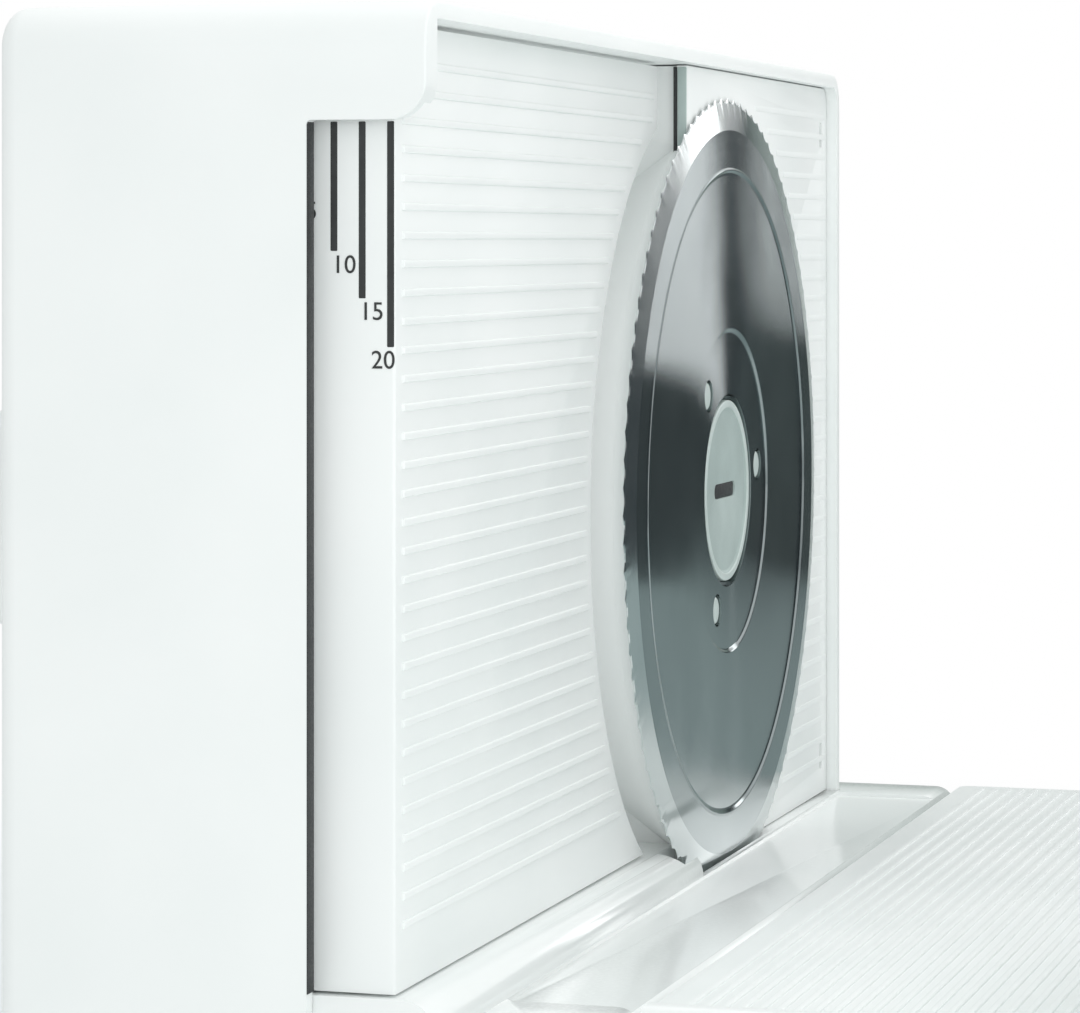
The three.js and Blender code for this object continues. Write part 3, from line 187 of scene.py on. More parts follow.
def combine(piece, tools, operation):
    # the tools are joined first, and gone afterwards
    tool = joined("tool", tools) if len(tools) > 1 else tools[0]
    useModifier(piece, "BOOLEAN", object=tool, operation=operation, solver="EXACT",
                use_self=len(tools) > 1)
    only(tool)
    bpy.ops.object.delete()
    return only(piece)


def carve(piece, *tools):
    return combine(piece, list(tools), "DIFFERENCE")


def add(piece, *tools):
    return combine(piece, list(tools), "UNION")


def standsAt(ends, places):
    # whether all of an edge lies at the given places, such as {"x": 3}
    return all(abs(getattr(end, axis) - value) < near
               for end in ends for axis, value in places.items())


def runsAlong(ends, axis):
    a, b = ends
    return all(abs(getattr(a, other) - getattr(b, other)) < near for other in axes if other != axis)


def roundEdges(piece, radius, segments, along=None, avoid=None, **places):
    # bevels the edges at the given places, only those along an axis, or all but those to avoid
    only(piece)
    bpy.ops.object.mode_set(mode="EDIT")
    bpy.ops.mesh.select_mode(type="EDGE")
    bpy.ops.mesh.select_all(action="DESELECT")
    bpy.ops.object.mode_set(mode="OBJECT")
    vertices = [measured(vertex.co) for vertex in piece.data.vertices]
    for edge in piece.data.edges:
        ends = [vertices[i] for i in edge.vertices]
        chosen = standsAt(ends, places)
        if along:
            chosen = chosen and runsAlong(ends, along)
        if avoid:
            chosen = chosen and not standsAt(ends, avoid)
        edge.select = chosen
    bpy.ops.object.mode_set(mode="EDIT")
    bpy.ops.mesh.bevel(offset=radius * mm, segments=segments, affect="EDGES")
    bpy.ops.object.mode_set(mode="OBJECT")
    return piece


def soften(piece, width, segments, angle=30, smooth=30):
    # breaks the edges sharper than an angle, as moulding does, and shades the rounds smooth
    useModifier(piece, "BEVEL", width=width * mm, segments=segments, limit_method="ANGLE",
                angle_limit=math.radians(angle), use_clamp_overlap=True)
    return smoothed(piece, smooth)


def smoothed(piece, angle):
    only(piece)
    bpy.ops.object.mode_set(mode="EDIT")
    bpy.ops.mesh.select_all(action="SELECT")
    bpy.ops.mesh.remove_doubles(threshold=near * mm / 10)
    bpy.ops.object.mode_set(mode="OBJECT")
    bpy.ops.object.shade_smooth_by_angle(angle=math.radians(angle))
    return piece


def copied(piece, name, move=(0, 0, 0)):
    # a copy with its own mesh, moved in millimetres
    only(piece)
    bpy.ops.object.duplicate()
    copy = named(name)
    bpy.ops.transform.translate(value=Vector(move) * mm)
    return settle(copy)


def dress(piece, material, body, slot, *nodes):
    piece.data.materials.clear()
    piece.data.materials.append(material)
    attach(piece, body)
    if nodes:
        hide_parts(*nodes)
    return piece


# Camera: the photograph's long lens, level, looking along the casing's front

camera = {
    "place": (206.1, -826.4, 53.7), "turn": 16.74, "lens": 130.8, "sensor": 36, "shiftY": -0.2444,
    "clipStart": 0.01,
}


def makeCamera():
    rotation = (math.radians(90), 0, math.radians(camera["turn"]))
    bpy.ops.object.camera_add(location=place(*camera["place"]), rotation=rotation)
    made = bpy.context.object
    made.data.lens = camera["lens"]
    made.data.sensor_width = camera["sensor"]
    made.data.shift_y = camera["shiftY"]
    made.data.clip_start = camera["clipStart"]
    bpy.context.scene.camera = made
    print("camera set")


# Blade: one tooth's sector is modelled and repeated round the axle

blade = {
    "radius": 85, "teeth": 96, "toothDepth": 0.9, "stepsPerTooth": 6, "smooth": 4,
    "back": [(-3.85, 8.5), (-3.85, 21.65), (-1.85, 21.95), (-1.85, 35.85), (0, 36.15), (0, 78)],
    "edge": [(0, 85), (0.05, 85)],
    "bevel": [(0.2, 83.83), (0.65, 80.33)],
    "face": [(0.95, 78), (0.95, 69.9), (1.02, 69.75), (1.12, 69.6), (1.15, 69.45), (1.12, 69.3),
             (0.75, 68.75), (0.65, 68.3), (0.65, 35.1), (0.58, 34.9), (0.22, 34.4), (0.15, 34.2),
             (0.15, 20.8), (-2.7, 20.5), (-2.7, 8.5)],
    "pinHole": {"radius": 3.5, "x": (-6, 3), "vertices": 32},
}


def scallop(piece, turn, depth, halfStep):
    # the rim's vertices at one step of the sector come in towards the axle
    bpy.ops.mesh.select_all(action="DESELECT")
    bpy.ops.object.mode_set(mode="OBJECT")
    out = 0
    for vertex in piece.data.vertices:
        _, y, z = measured(vertex.co)
        angle = math.atan2(z, y)
        onRim = math.hypot(y, z) > blade["radius"] - near
        vertex.select = onRim and abs(abs(angle) - turn) < halfStep
        out = angle if vertex.select else out
    bpy.ops.object.mode_set(mode="EDIT")
    move = Vector((0, -math.cos(out), -math.sin(out))) * depth * mm
    bpy.ops.transform.translate(value=move)


def makeBlade():
    sector = fullTurn / blade["teeth"]
    steps = blade["stepsPerTooth"]
    profile = blade["back"] + blade["edge"] + blade["bevel"] + blade["face"]
    piece = spun("blade_disc", profile + profile[:1], steps=steps, angle=sector)
    bpy.ops.object.mode_set(mode="EDIT")
    bpy.ops.mesh.select_mode(type="VERT")
    for step in range(1, steps):
        share = step / steps
        depth = blade["toothDepth"] * (1 - (2 * share - 1) ** 2)  # deepest in the middle
        scallop(piece, sector * share, depth, sector / steps / 2)
    bpy.ops.object.mode_set(mode="OBJECT")
    bpy.ops.object.empty_add(location=bladeMiddle)
    turner = bpy.context.object
    turner.rotation_euler = (sector, 0, 0)
    # the array turns about the object's own middle, so that goes to the blade's middle for now
    only(piece)
    bpy.context.scene.cursor.location = bladeMiddle
    bpy.ops.object.origin_set(type="ORIGIN_CURSOR")
    bpy.context.view_layer.update()
    useModifier(piece, "ARRAY", use_relative_offset=False, use_object_offset=True,
                offset_object=turner, count=blade["teeth"], use_merge_vertices=True,
                use_merge_vertices_cap=True, merge_threshold=near * mm)
    settle(piece)
    only(turner)
    bpy.ops.object.delete()
    only(piece)
    bpy.ops.object.mode_set(mode="EDIT")
    closeSeams()
    hole = blade["pinHole"]
    carve(piece, *[cylinder("hole", hole["radius"], hole["x"], hole["vertices"], pinPlace(angle))
                   for angle in pins["angles"]])
    return smoothed(piece, blade["smooth"])


pins = {
    "angles": [129, 9, 249], "circle": 27, "radius": 3.2, "x": (-6.6, -0.1), "taper": 0.5,
    "drop": 0.7, "round": 0.35, "steps": 32, "smooth": 35,
}


def pinPlace(angle):
    turn = math.radians(angle)
    return pins["circle"] * math.cos(turn), pins["circle"] * math.sin(turn)


def makePins():
    back, front = pins["x"]
    radius = pins["radius"]
    profile = [(back, 0), (back, radius), (front - pins["drop"], radius),
               (front, radius - pins["taper"]), (front, 0)]
    made = [spun("pin", rounded(profile, pins["round"]), (0, *pinPlace(angle)), pins["steps"])
            for angle in pins["angles"]]
    return smoothed(joined("drive_pins", made), pins["smooth"])


# The screw that holds the blade, with its coin slot, and a paler ring on the rim round its face that is a painted
# highlight

hub = {
    "radius": 19.6, "face": -0.1, "seat": -2.7, "rim": 1.6, "dish": 0.5, "round": 0.6,
    "stemRadius": 7.6, "stemBack": -14,
    # the slot's ends are rounded to nearly half its width
    "slot": {"x": (-2.1, 1.4), "y": (-9, 9), "z": (-1.6, 1.6), "round": (1.536, 8)},
    "soft": {"width": 0.2, "segments": 2, "angle": 40, "smooth": 35},
}


def makeHub():
    radius, face, stem, seat = (hub[name] for name in ("radius", "face", "stemRadius", "seat"))
    rim = radius - hub["rim"]
    floor = face - hub["dish"]
    profile = [(hub["stemBack"], 0), (hub["stemBack"], stem), (seat, stem), (seat, radius),
               (face, radius), (face, rim), (floor, rim - hub["dish"]), (floor, 0)]
    piece = spun("blade_screw_cap", rounded(profile, hub["round"]))
    slot = hub["slot"]
    cutter = box("slot", slot["x"], slot["y"], slot["z"])
    carve(piece, roundEdges(cutter, *slot["round"], along="x"))
    return soften(piece, **hub["soft"])


# a pale ring laid on the screw's rim, a painted highlight
screwRim = {
    "profile": [(-0.9, 17.9), (0.05, 17.9), (0.05, 19.55), (-0.9, 19.55)], "round": 0.3,
    "smooth": 35,
}


def makeScrewRim():
    profile = rounded(screwRim["profile"], screwRim["round"])
    return smoothed(spun("screw_rim_highlight", profile + profile[:1]), screwRim["smooth"])


# Casing: one arch with the scale window in its near wall, and the wall and posts of its pillar

casing = {
    "x": (-75.5, 2), "y": (-213, 104), "z": (-80, 94),
    "endRound": (7, 14), "backRound": (4, 8), "frontRound": (0.5, 3),
    "inner": {"y": (-210, 101), "top": 91, "round": (4, 8)},
    "lip": ((0.8, 2), (-210.3, -207), (74.1, 92)),
    "window": {"x": -19, "through": (-215, -205), "bottom": -77, "top": 74.1, "overlap": 1,
               "corner": (0.8, 4), "round": 6.5, "vertices": 96},
    "pillar": ((-75.5, -24), (-167.8, -165.3), (-71.7, 91.3)),
    "posts": [((-72.7, -58.7), (-175.8, -167.5), (76, 86)),
              ((-72.7, -58.7), (-175.8, -167.5), (-67, -57))],
    "soft": {"width": 0.35, "segments": 2, "angle": 40},
}


def makeWindow():
    # the opening's tool, whose top runs out to the front in a round
    window = casing["window"]
    front = casing["x"][1]
    opening = box("opening", (window["x"], front + past), window["through"],
                  (window["bottom"], window["top"]))
    roundEdges(opening, *window["corner"], x=window["x"], z=window["top"])
    middle = (front - window["round"], window["top"] + window["round"])
    above = box("above", (middle[0], front + past), window["through"],
                (window["top"] - window["overlap"], middle[1]))
    carve(above, cylinder("round", window["round"], beyond(*window["through"]),
                          window["vertices"], middle, "y"))
    return add(opening, above)


def makeHousing():
    back, front = casing["x"]
    seam, top = casing["z"]
    shell = box("housing", casing["x"], casing["y"], casing["z"])
    roundEdges(shell, *casing["endRound"], along="x", z=top)
    roundEdges(shell, *casing["backRound"], avoid={"z": seam}, x=back)
    roundEdges(shell, *casing["frontRound"], avoid={"z": seam}, x=front)
    inner = casing["inner"]
    cavity = box("cavity", beyond(back, front), inner["y"], (seam - past, inner["top"]))
    carve(shell, roundEdges(cavity, *inner["round"], along="x", z=inner["top"]))
    add(shell, box("lip", *casing["lip"]))
    carve(shell, makeWindow())
    add(shell, box("pillar", *casing["pillar"]))
    for limits in casing["posts"]:
        add(shell, box("post", *limits))
    return soften(shell, **casing["soft"])


# Ribs: one bar is modelled, then copied, moved and drawn out to its own length

rib = {"pitch": 4.81, "width": 1.3, "sunk": 0.3, "first": 83.8}


def makeRibs(name, foot, rows, height, edge):
    half = rib["width"] / 2
    nearEnd, farEnd, firstZ = rows[0]
    tip = foot + height
    bar = box(name, (foot - rib["sunk"], tip), (nearEnd, farEnd), (firstZ - half, firstZ + half))
    bars = [roundEdges(bar, *edge, x=tip)]
    for start, end, z in rows[1:]:
        copy = copied(bar, name, (0, 0, z - firstZ))
        for vertex in copy.data.vertices:
            onNearHalf = measured(vertex.co).y < (nearEnd + farEnd) / 2
            vertex.co.y += ((start - nearEnd) if onNearHalf else (end - farEnd)) * mm
        bars.append(copy)
    return joined(name, bars)


# Stop plate: a ribbed plate with a return at its near end and an arc that clears the blade

stopPlate = {
    "x": (-7.5, -5), "y": (-208.2, -40.3), "z": (-71.5, 90.2), "back": -35, "thickness": 2.5,
    "edge": (0.6, 4), "arc": {"radius": 84.6, "middle": -6, "vertices": 256},
    "ribs": {"count": 31, "margin": 3.6, "height": 0.5, "edge": (0.3, 3)},
    "soft": {"width": 0.35, "segments": 2, "angle": 40}, "smooth": 40,
}


def makeStopPlate():
    back, face = stopPlate["x"]
    nearEnd, farEnd = stopPlate["y"]
    arc, ribs = stopPlate["arc"], stopPlate["ribs"]
    plate = box("fence_plate", (stopPlate["back"], face), stopPlate["y"], stopPlate["z"])
    carve(plate, box("behind", (stopPlate["back"] - past, back),
                     (nearEnd + stopPlate["thickness"], farEnd + past), beyond(*stopPlate["z"])))
    roundEdges(plate, *stopPlate["edge"], x=face, y=nearEnd)
    carve(plate, cylinder("arc", arc["radius"], beyond(back, face), arc["vertices"],
                          (arc["middle"], 0)))
    soften(plate, **stopPlate["soft"])
    rows = []
    for i in range(ribs["count"]):
        z = rib["first"] - i * rib["pitch"]
        reach = math.sqrt(max(0, (arc["radius"] + ribs["margin"]) ** 2 - z ** 2))
        end = min(farEnd - ribs["margin"], arc["middle"] - reach)
        rows.append((nearEnd + ribs["margin"], end, z))
    bars = makeRibs("plate_ribs", face, rows, ribs["height"], ribs["edge"])
    return smoothed(joined("fence_plate", [plate, bars]), stopPlate["smooth"])


# Drum behind the blade, with the boss of the axle

bowl = {
    "outer": [(-30, 6.3), (-30, 62), (-3.1, 80)],
    "inner": [(-3.1, 77.5), (-27.5, 59.5), (-27.5, 6.3)],
    "round": 1.2, "steps": 160, "smooth": 35,
    "room": [(-29.95, 0), (-29.95, 61.9), (-3.1, 79.9), (-2.8, 79.9), (-2.8, 0)],
    "boss": {"profile": [(-29.7, 6.3), (-39, 6.3), (-39, 12), (-29.7, 12)], "round": 0.8,
             "steps": 64},
    "rim": {"profile": [(-3.4, 80), (-0.7, 80), (-0.7, 78.2), (-3.4, 77.3)],
            "farHalf": ((-5, 0), (-32.8, 82), (-82, 82)),
            "soft": {"width": 0.4, "segments": 3, "angle": 40}},
}


def bowlRoom():
    # the room that the casing's pieces leave for the drum behind the blade
    return spun("room", bowl["room"], steps=bowl["steps"])


def makeBowl():
    profile = rounded(bowl["outer"] + bowl["inner"], bowl["round"])
    drum = spun("blade_drum", profile + profile[:1], steps=bowl["steps"])
    boss, rim = bowl["boss"], bowl["rim"]
    outline = rounded(boss["profile"], boss["round"]) + boss["profile"][:1]
    tube = spun("axle_boss", outline, steps=boss["steps"])
    # on the near side the rim comes up close behind the blade, and stops at the ribbed panel
    ring = spun("rim", rim["profile"] + rim["profile"][:1], steps=bowl["steps"])
    carve(ring, box("far_half", *rim["farHalf"]))
    soften(ring, **rim["soft"])
    return smoothed(joined("blade_drum", [drum, tube, ring]), bowl["smooth"])


# Motor cover: the ribbed panel beyond the blade, with its marks and near wall

motorCover = {
    "x": (-2.8, -0.6), "y": (-32.4, 100.7), "z": (-78.2, 90.7), "round": (3.7, 8),
    "hole": {"radius": 37, "vertices": 128}, "wall": (-30.4, -28.4), "inside": -72.7,
    "marks": {"y": (93.2, 95.8), "z": [(76.5, 82.5), (-72.4, -66.4)], "round": (0.5, 4)},
    "bosses": [(-57, (-24.9, -71.5)), (-2.5, (-24.9, 84)), (-2.5, (94, -71.5)), (-2.5, (94, 84))],
    "boss": {"radius": 4, "vertices": 32},
    "ribs": {"count": 33, "start": 8, "end": 99.7, "clear": 88.5, "height": 0.1,
             "edge": (0.06, 3)},
    "soft": {"width": 0.3, "segments": 2, "angle": 40}, "smooth": 40,
}


def makeMotorCover():
    back, front = motorCover["x"]
    panel = box("panel", motorCover["x"], motorCover["y"], motorCover["z"])
    roundEdges(panel, *motorCover["round"], z=motorCover["z"][1], y=motorCover["y"][1])
    wall = box("wall", (motorCover["inside"], back + near), motorCover["wall"], motorCover["z"])
    add(panel, carve(wall, bowlRoom()))
    marks, hole, boss = (motorCover[name] for name in ("marks", "hole", "boss"))
    cutters = [box("mark", beyond(back, front), marks["y"], limits) for limits in marks["z"]]
    for cutter in cutters:
        roundEdges(cutter, *marks["round"], along="x")
    middle = cylinder("hole", hole["radius"], beyond(back, front), hole["vertices"])
    carve(panel, middle, *cutters)
    soften(panel, **motorCover["soft"])
    pieces = [panel]
    for end, centre in motorCover["bosses"]:
        limits = (motorCover["inside"], end)
        pieces.append(cylinder("boss", boss["radius"], limits, boss["vertices"], centre))
    ribs = motorCover["ribs"]
    rows = []
    for i in range(ribs["count"]):
        z = rib["first"] - i * rib["pitch"]
        clear = math.sqrt(max(0, ribs["clear"] ** 2 - z ** 2))
        rows.append((max(ribs["start"], clear), ribs["end"], z))
    pieces.append(makeRibs("panel_ribs", front, rows, ribs["height"], ribs["edge"]))
    return smoothed(joined("ribbed_panel", pieces), motorCover["smooth"])


# Base: table and lower deck, the sill along the stop plate, the recess and the blade's slot

base = {
    "x": (-75.5, 118), "y": (-213, 115.5), "z": (-112, -78.5), "corner": (3, 6),
    "aboveDeck": ((28, 120), (-215, 117.5), (-92.5, -76.5)), "tableEdge": (4.6, 10),
    "sill": ((-75.2, 3), (-209.7, -32.7), (-80.5, -72)), "sillRound": (6.5, 14),
    "recess": ((3, 30), (-172.5, 98), (-79.3, -76.5)), "recessCorner": (2, 6),
    # the ledge that the casing stands on, and the hollows under the table and the deck
    "cuts": [
        ((-77.5, 2.3), (-215, -209.7), (-80.3, -70)),
        ((-77.5, 2.3), (100.7, 104.3), (-80.3, -70)),
        ((-77.5, -72.7), (-215, 104.3), (-80.3, -70)),
        ((-69.5, 25), (-207, 109.5), (-114, -89)),
        ((31, 115), (-207, 109.5), (-114, -95.5)),
    ],
    "slot": {"radius": 86, "x": (-3.1, 1.65), "vertices": 256},
    "posts": {"x": (88, 96), "z": (-93.5, -82.5), "length": 7, "gap": 0.3,
              "soft": {"width": 0.8, "segments": 3}},
    "soft": {"width": 0.4, "segments": 3, "angle": 40}, "smooth": 35,
}


def makeRailPosts():
    # a post at each end of the carriage's rail
    posts = base["posts"]
    low, high = (measured(end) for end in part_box("carriage_rail"))
    places = [(low.y - posts["gap"] - posts["length"], low.y - posts["gap"]),
              (high.y + posts["gap"], high.y + posts["gap"] + posts["length"])]
    return [soften(box("rail_post", posts["x"], limits, posts["z"]), **posts["soft"])
            for limits in places]


def makeBase():
    body = box("base", base["x"], base["y"], base["z"])
    roundEdges(body, *base["corner"], along="z")
    carve(body, box("above", *base["aboveDeck"]))
    roundEdges(body, *base["tableEdge"], z=base["z"][1], x=base["aboveDeck"][0][0])
    sill = box("sill", *base["sill"])
    add(body, roundEdges(sill, *base["sillRound"], z=base["sill"][2][1], x=base["sill"][0][1]))
    recess = box("recess", *base["recess"])
    carve(body, roundEdges(recess, *base["recessCorner"], along="z", x=base["recess"][0][0]))
    for limits in base["cuts"]:
        carve(body, box("cut", *limits))
    slot = base["slot"]
    carve(body, cylinder("slot", slot["radius"], slot["x"], slot["vertices"]))
    carve(body, bowlRoom())
    soften(body, **base["soft"])
    return smoothed(joined("base", [body, *makeRailPosts()]), base["smooth"])


# Carriage: a ribbed tray with its near sill and the seat of the hand guard

carriage = {
    "x": (29, 150), "y": (-200, 118), "z": (-88.5, -78.5), "corner": (3, 6), "edge": (4.5, 10),
    # the hollow below, the gap for the rail, and the guard's seat
    "cuts": [
        ((31.5, 147.5), (-197.5, 115.5), (-90.5, -81)),
        ((87, 97), (-202, 120), (-90.5, -81)),
        ((113.5, 118), (-196.5, -91.5), (-79.3, -76.5)),
        ((113.5, 128.5), (-183.5, -104.5), (-79.3, -76.5)),
    ],
    "sill": ((35, 144), (-199.7, -196), (-79.5, -72.5)), "sillRound": (0.8, 4),
    "rib": ((34.25, 35.75), (-196, 114), (-79.5, -78.05)), "ribRound": (0.4, 3),
    "ribs": 22, "ribPitch": 3.2,
    "soft": {"width": 0.4, "segments": 3, "angle": 40}, "smooth": 40,
}


def makeCarriage():
    tray = box("carriage", carriage["x"], carriage["y"], carriage["z"])
    roundEdges(tray, *carriage["corner"], along="z")
    roundEdges(tray, *carriage["edge"], z=carriage["z"][1], x=carriage["x"][0])
    for limits in carriage["cuts"]:
        carve(tray, box("cut", *limits))
    soften(tray, **carriage["soft"])
    sill = box("sill", *carriage["sill"])
    roundEdges(sill, *carriage["sillRound"], z=carriage["sill"][2][1])
    bar = box("tray_rib", *carriage["rib"])
    roundEdges(bar, *carriage["ribRound"], z=carriage["rib"][2][1])
    bars = [copied(bar, "tray_rib", (i * carriage["ribPitch"], 0, 0))
            for i in range(1, carriage["ribs"])]
    return smoothed(joined("carriage", [tray, sill, bar, *bars]), carriage["smooth"])


# Moulded pieces that keep the shape of their CAD solid, with their edges broken

moulded = {
    "rear_cover": {"body": "casing", "finish": "white", "slot": "white_plastic"},
    "pillar_cover": {"body": "casing", "finish": "white", "slot": "white_plastic"},
    "bottom_cover": {"body": "casing", "finish": "grey", "slot": "grey_plastic"},
    "carriage_guard": {"body": "carriage_group", "finish": "white", "slot": "white_plastic"},
    "thickness_knob": {"body": "knob_group", "finish": "white", "slot": "white_plastic"},
    "cable_gland": {"body": "casing", "finish": "nylon", "slot": "dark_plastic"},
}
mouldedShape = {"flat": 1, "soft": {"width": 0.4, "segments": 3, "angle": 35, "smooth": 35}}


def makeMoulded(node):
    # facets of the copy that lie flat to a degree are joined again first
    piece = copied(frame["nodes"][node], node + "_moulded")
    piece.hide_set(False)
    bpy.ops.object.mode_set(mode="EDIT")
    bpy.ops.mesh.select_all(action="SELECT")
    bpy.ops.mesh.remove_doubles(threshold=near * mm / 10)
    bpy.ops.mesh.dissolve_limited(angle_limit=math.radians(mouldedShape["flat"]))
    bpy.ops.object.mode_set(mode="OBJECT")
    return soften(piece, **mouldedShape["soft"])


# Feet, screws and buttons

foot = {
    "profile": [(-114.5, 0), (-114.5, 8), (-118.2, 8), (-118.2, 11), (-120.7, 11), (-120.7, 0)],
    "round": 0.9, "steps": 48, "smooth": 35,
    "places": [(-57.5, -195), (100, -195), (-57.5, 97.5), (100, 97.5)],
}


def makeFeet():
    (x, y), *others = foot["places"]
    first = spun("foot", rounded(foot["profile"], foot["round"]), (x, y, 0), foot["steps"],
                 axis="z")
    feet = [first] + [copied(first, "foot", (toX - x, toY - y, 0)) for toX, toY in others]
    return [smoothed(piece, foot["smooth"]) for piece in feet]


screw = {
    "profile": [(-77.4, 0), (-77.4, 2.6), (-76.9, 3.4), (-75.8, 3.4), (-75.8, 1.4), (-66, 1.4),
                (-66, 0)],
    "round": 0.3, "steps": 32, "smooth": 35,
    "slot": {"x": (-79.4, -76.7), "length": 8, "width": 0.9},
    "places": {
        "rear_cover_screw_1": (-24.9, -71.5), "rear_cover_screw_2": (-24.9, 84),
        "rear_cover_screw_3": (94, -71.5), "rear_cover_screw_4": (94, 84),
        "pillar_cover_screw_1": (-171.8, 81), "pillar_cover_screw_2": (-171.8, -62),
    },
}


def makeScrews():
    (y, z), *others = screw["places"].values()
    slot = screw["slot"]
    first = spun("screw", rounded(screw["profile"], screw["round"]), (0, y, z), screw["steps"])
    carve(first, box("slot", slot["x"], (y - slot["length"] / 2, y + slot["length"] / 2),
                     (z - slot["width"] / 2, z + slot["width"] / 2)))
    smoothed(first, screw["smooth"])
    return [first] + [copied(first, "screw", (0, toY - y, toZ - z)) for toY, toZ in others]


# a button's face is dished for the finger
buttons = {
    "main_switch_button": {
        "node": "switch_button", "body": "switch_group", "middle": (0, 8, 58),
        "face": [(-79.7, 0), (-79.94, 4.95), (-80.5, 9.35)],
        "side": [(-80.5, 11), (-72.7, 11), (-72.7, 13.5), (-70.9, 13.5), (-70.9, 4), (-58.7, 4),
                 (-58.7, 0)]},
    "lock_button": {
        "node": "safety_button", "body": "safety_group", "middle": (0, -16, 58),
        "face": [(-79, 0), (-79.15, 2.475), (-79.5, 4.675)],
        "side": [(-79.5, 5.5), (-72.7, 5.5), (-72.7, 7.2), (-71.1, 7.2), (-71.1, 2.6),
                 (-60.7, 2.6), (-60.7, 0)]},
}
buttonShape = {"round": 0.8, "steps": 64, "smooth": 35}


def makeButton(name, values):
    profile = rounded(values["face"] + values["side"], buttonShape["round"])
    piece = spun(name, profile, values["middle"], buttonShape["steps"])
    return smoothed(piece, buttonShape["smooth"])


# Strips of painted shade, put where there is only shade: dark ones at the window's edge, in the slit beside the
# ribbed panel and at the bottom of the screw's slot, and a grey one on the panel's near edge

shadeStrips = {
    # a black strip over the window's cut edge, painted shade
    "window_edge_shade": {"limits": ((-19.2, -18.8), (-212.7, -209.6), (-71.4, 73.9)), "edge": (0.15, 3),
                    "body": "casing", "finish": "nylon", "slot": "dark_plastic"},
    # a black strip in the slit at the panel's edge, painted shade
    "panel_slit_shade": {"limits": ((-3.6, -2.7), (-32.5, -30.3), (60, 90.5)), "edge": (0.2, 3),
                   "body": "casing", "finish": "nylon", "slot": "dark_plastic"},
    # a grey strip on the panel's near edge, painted shade
    "panel_edge_shade": {"limits": ((-2.65, -0.75), (-32.75, -32.2), (60, 90.4)), "edge": (0.2, 3),
                   "body": "casing", "finish": "grey", "slot": "grey_plastic"},
    # a black strip at the bottom of the screw's slot, painted shade
    "slot_floor_shade": {"limits": ((-2.3, -0.95), (-8.9, 8.9), (-1.58, 1.58)), "edge": (0.3, 3),
                    "body": "blade_group", "finish": "nylon", "slot": "dark_plastic"},
}


def makeShadeStrip(name, values):
    return soften(box(name, *values["limits"]), *values["edge"])


# Thickness scale printed on the plate's near return: plain bars with their numbers

scale = {
    "y": -208.2, "proud": 0.05, "width": 1.2, "top": 73.9, "barRound": (0.15, 2),
    "textSize": 4.3,
    "bars": [(-20.8, 60.5), (-15.8, 52.3), (-10.8, 44.4), (-5.8, 36.3)],
    "labels": [("5", -19.8, 58.9), ("10", -14.0, 49.9), ("15", -9.1, 42.1), ("20", -7.1, 34.0)],
}


def makeScale():
    y, half, proud = scale["y"], scale["width"] / 2, scale["proud"]
    made = []
    for x, bottom in scale["bars"]:
        bar = box("bar", (x - half, x + half), (y - proud, y + proud), (bottom, scale["top"]))
        made.append(roundEdges(bar, *scale["barRound"], along="y"))
    for word, x, z in scale["labels"]:
        deselect()
        bpy.ops.object.text_add(location=place(x, y - proud, z), rotation=(math.pi / 2, 0, 0))
        text = bpy.context.object.data
        text.body = word
        text.size = scale["textSize"] * mm
        text.extrude = proud * mm
        text.align_x = "CENTER"
        text.align_y = "CENTER"
        bpy.ops.object.convert(target="MESH")
        made.append(settle(named("label")))
    return joined("thickness_scale", made)


# Material tools

def colour(code):
    # sRGB hex to the linear colour that shaders use
    parts = [int(code[i:i + 2], 16) / 255 for i in (1, 3, 5)]
    return (*[p / 12.92 if p <= 0.04045 else ((p + 0.055) / 1.055) ** 2.4 for p in parts], 1)


def addNode(tree, kind, inputs=None, **settings):
    node = tree.nodes.new(kind)
    for name, value in settings.items():
        setattr(node, name, value)
    for socket, value in (inputs or {}).items():
        if isinstance(value, bpy.types.NodeSocket):
            tree.links.new(value, node.inputs[socket])
        else:
            node.inputs[socket].default_value = value
    return node


def startMaterial(name, values):
    # a fresh material, with its plain values set on the shader's own sockets
    material = bpy.data.materials.new(name)
    material.use_nodes = True
    tree = material.node_tree
    shader = tree.nodes["Principled BSDF"]
    for socket, value in values.items():
        shader.inputs[socket].default_value = value
    return material, tree, shader


noiseDetail = {"cloud": 2, "grain": 4, "marks": 5}
noiseRange = {"From Min": 0.3, "From Max": 0.7}  # what most of a noise keeps to


def grain(tree, size, detail, stretch=(1, 1, 1)):
    # a noise on object coordinates, whose grains are about the given size in millimetres
    coordinates = addNode(tree, "ShaderNodeTexCoord").outputs["Object"]
    mapping = addNode(tree, "ShaderNodeMapping", {"Vector": coordinates, "Scale": stretch})
    return addNode(tree, "ShaderNodeTexNoise", {
        "Vector": mapping.outputs[0], "Scale": 1 / (size * mm), "Detail": detail}).outputs[0]


def tinted(tree, value, values):
    # a noise as a colour between the dark and the light one
    share = addNode(tree, "ShaderNodeMapRange", {"Value": value, **noiseRange}).outputs[0]
    return addNode(tree, "ShaderNodeMix", {
        0: share, 6: colour(values["dark"]), 7: colour(values["light"]),
    }, data_type="RGBA").outputs[2]


def finishSurface(tree, shader, tone, sheen, height, values):
    # colour, gloss and relief, which every material has
    tree.links.new(tone, shader.inputs["Base Color"])
    rough = addNode(tree, "ShaderNodeMapRange", {
        "Value": sheen, **noiseRange, "To Min": values["smooth"], "To Max": values["rough"]})
    tree.links.new(rough.outputs[0], shader.inputs["Roughness"])
    bump = addNode(tree, "ShaderNodeBump", {
        "Height": height, "Distance": values["depth"] * mm, "Strength": values["strength"]})
    tree.links.new(bump.outputs[0], shader.inputs["Normal"])


# Plastics: the colour wanders very little, and the mould's spark-eroded grain dulls it. A real
# grain of about 0.1 mm would be too fine to show, so it is drawn several times as coarse

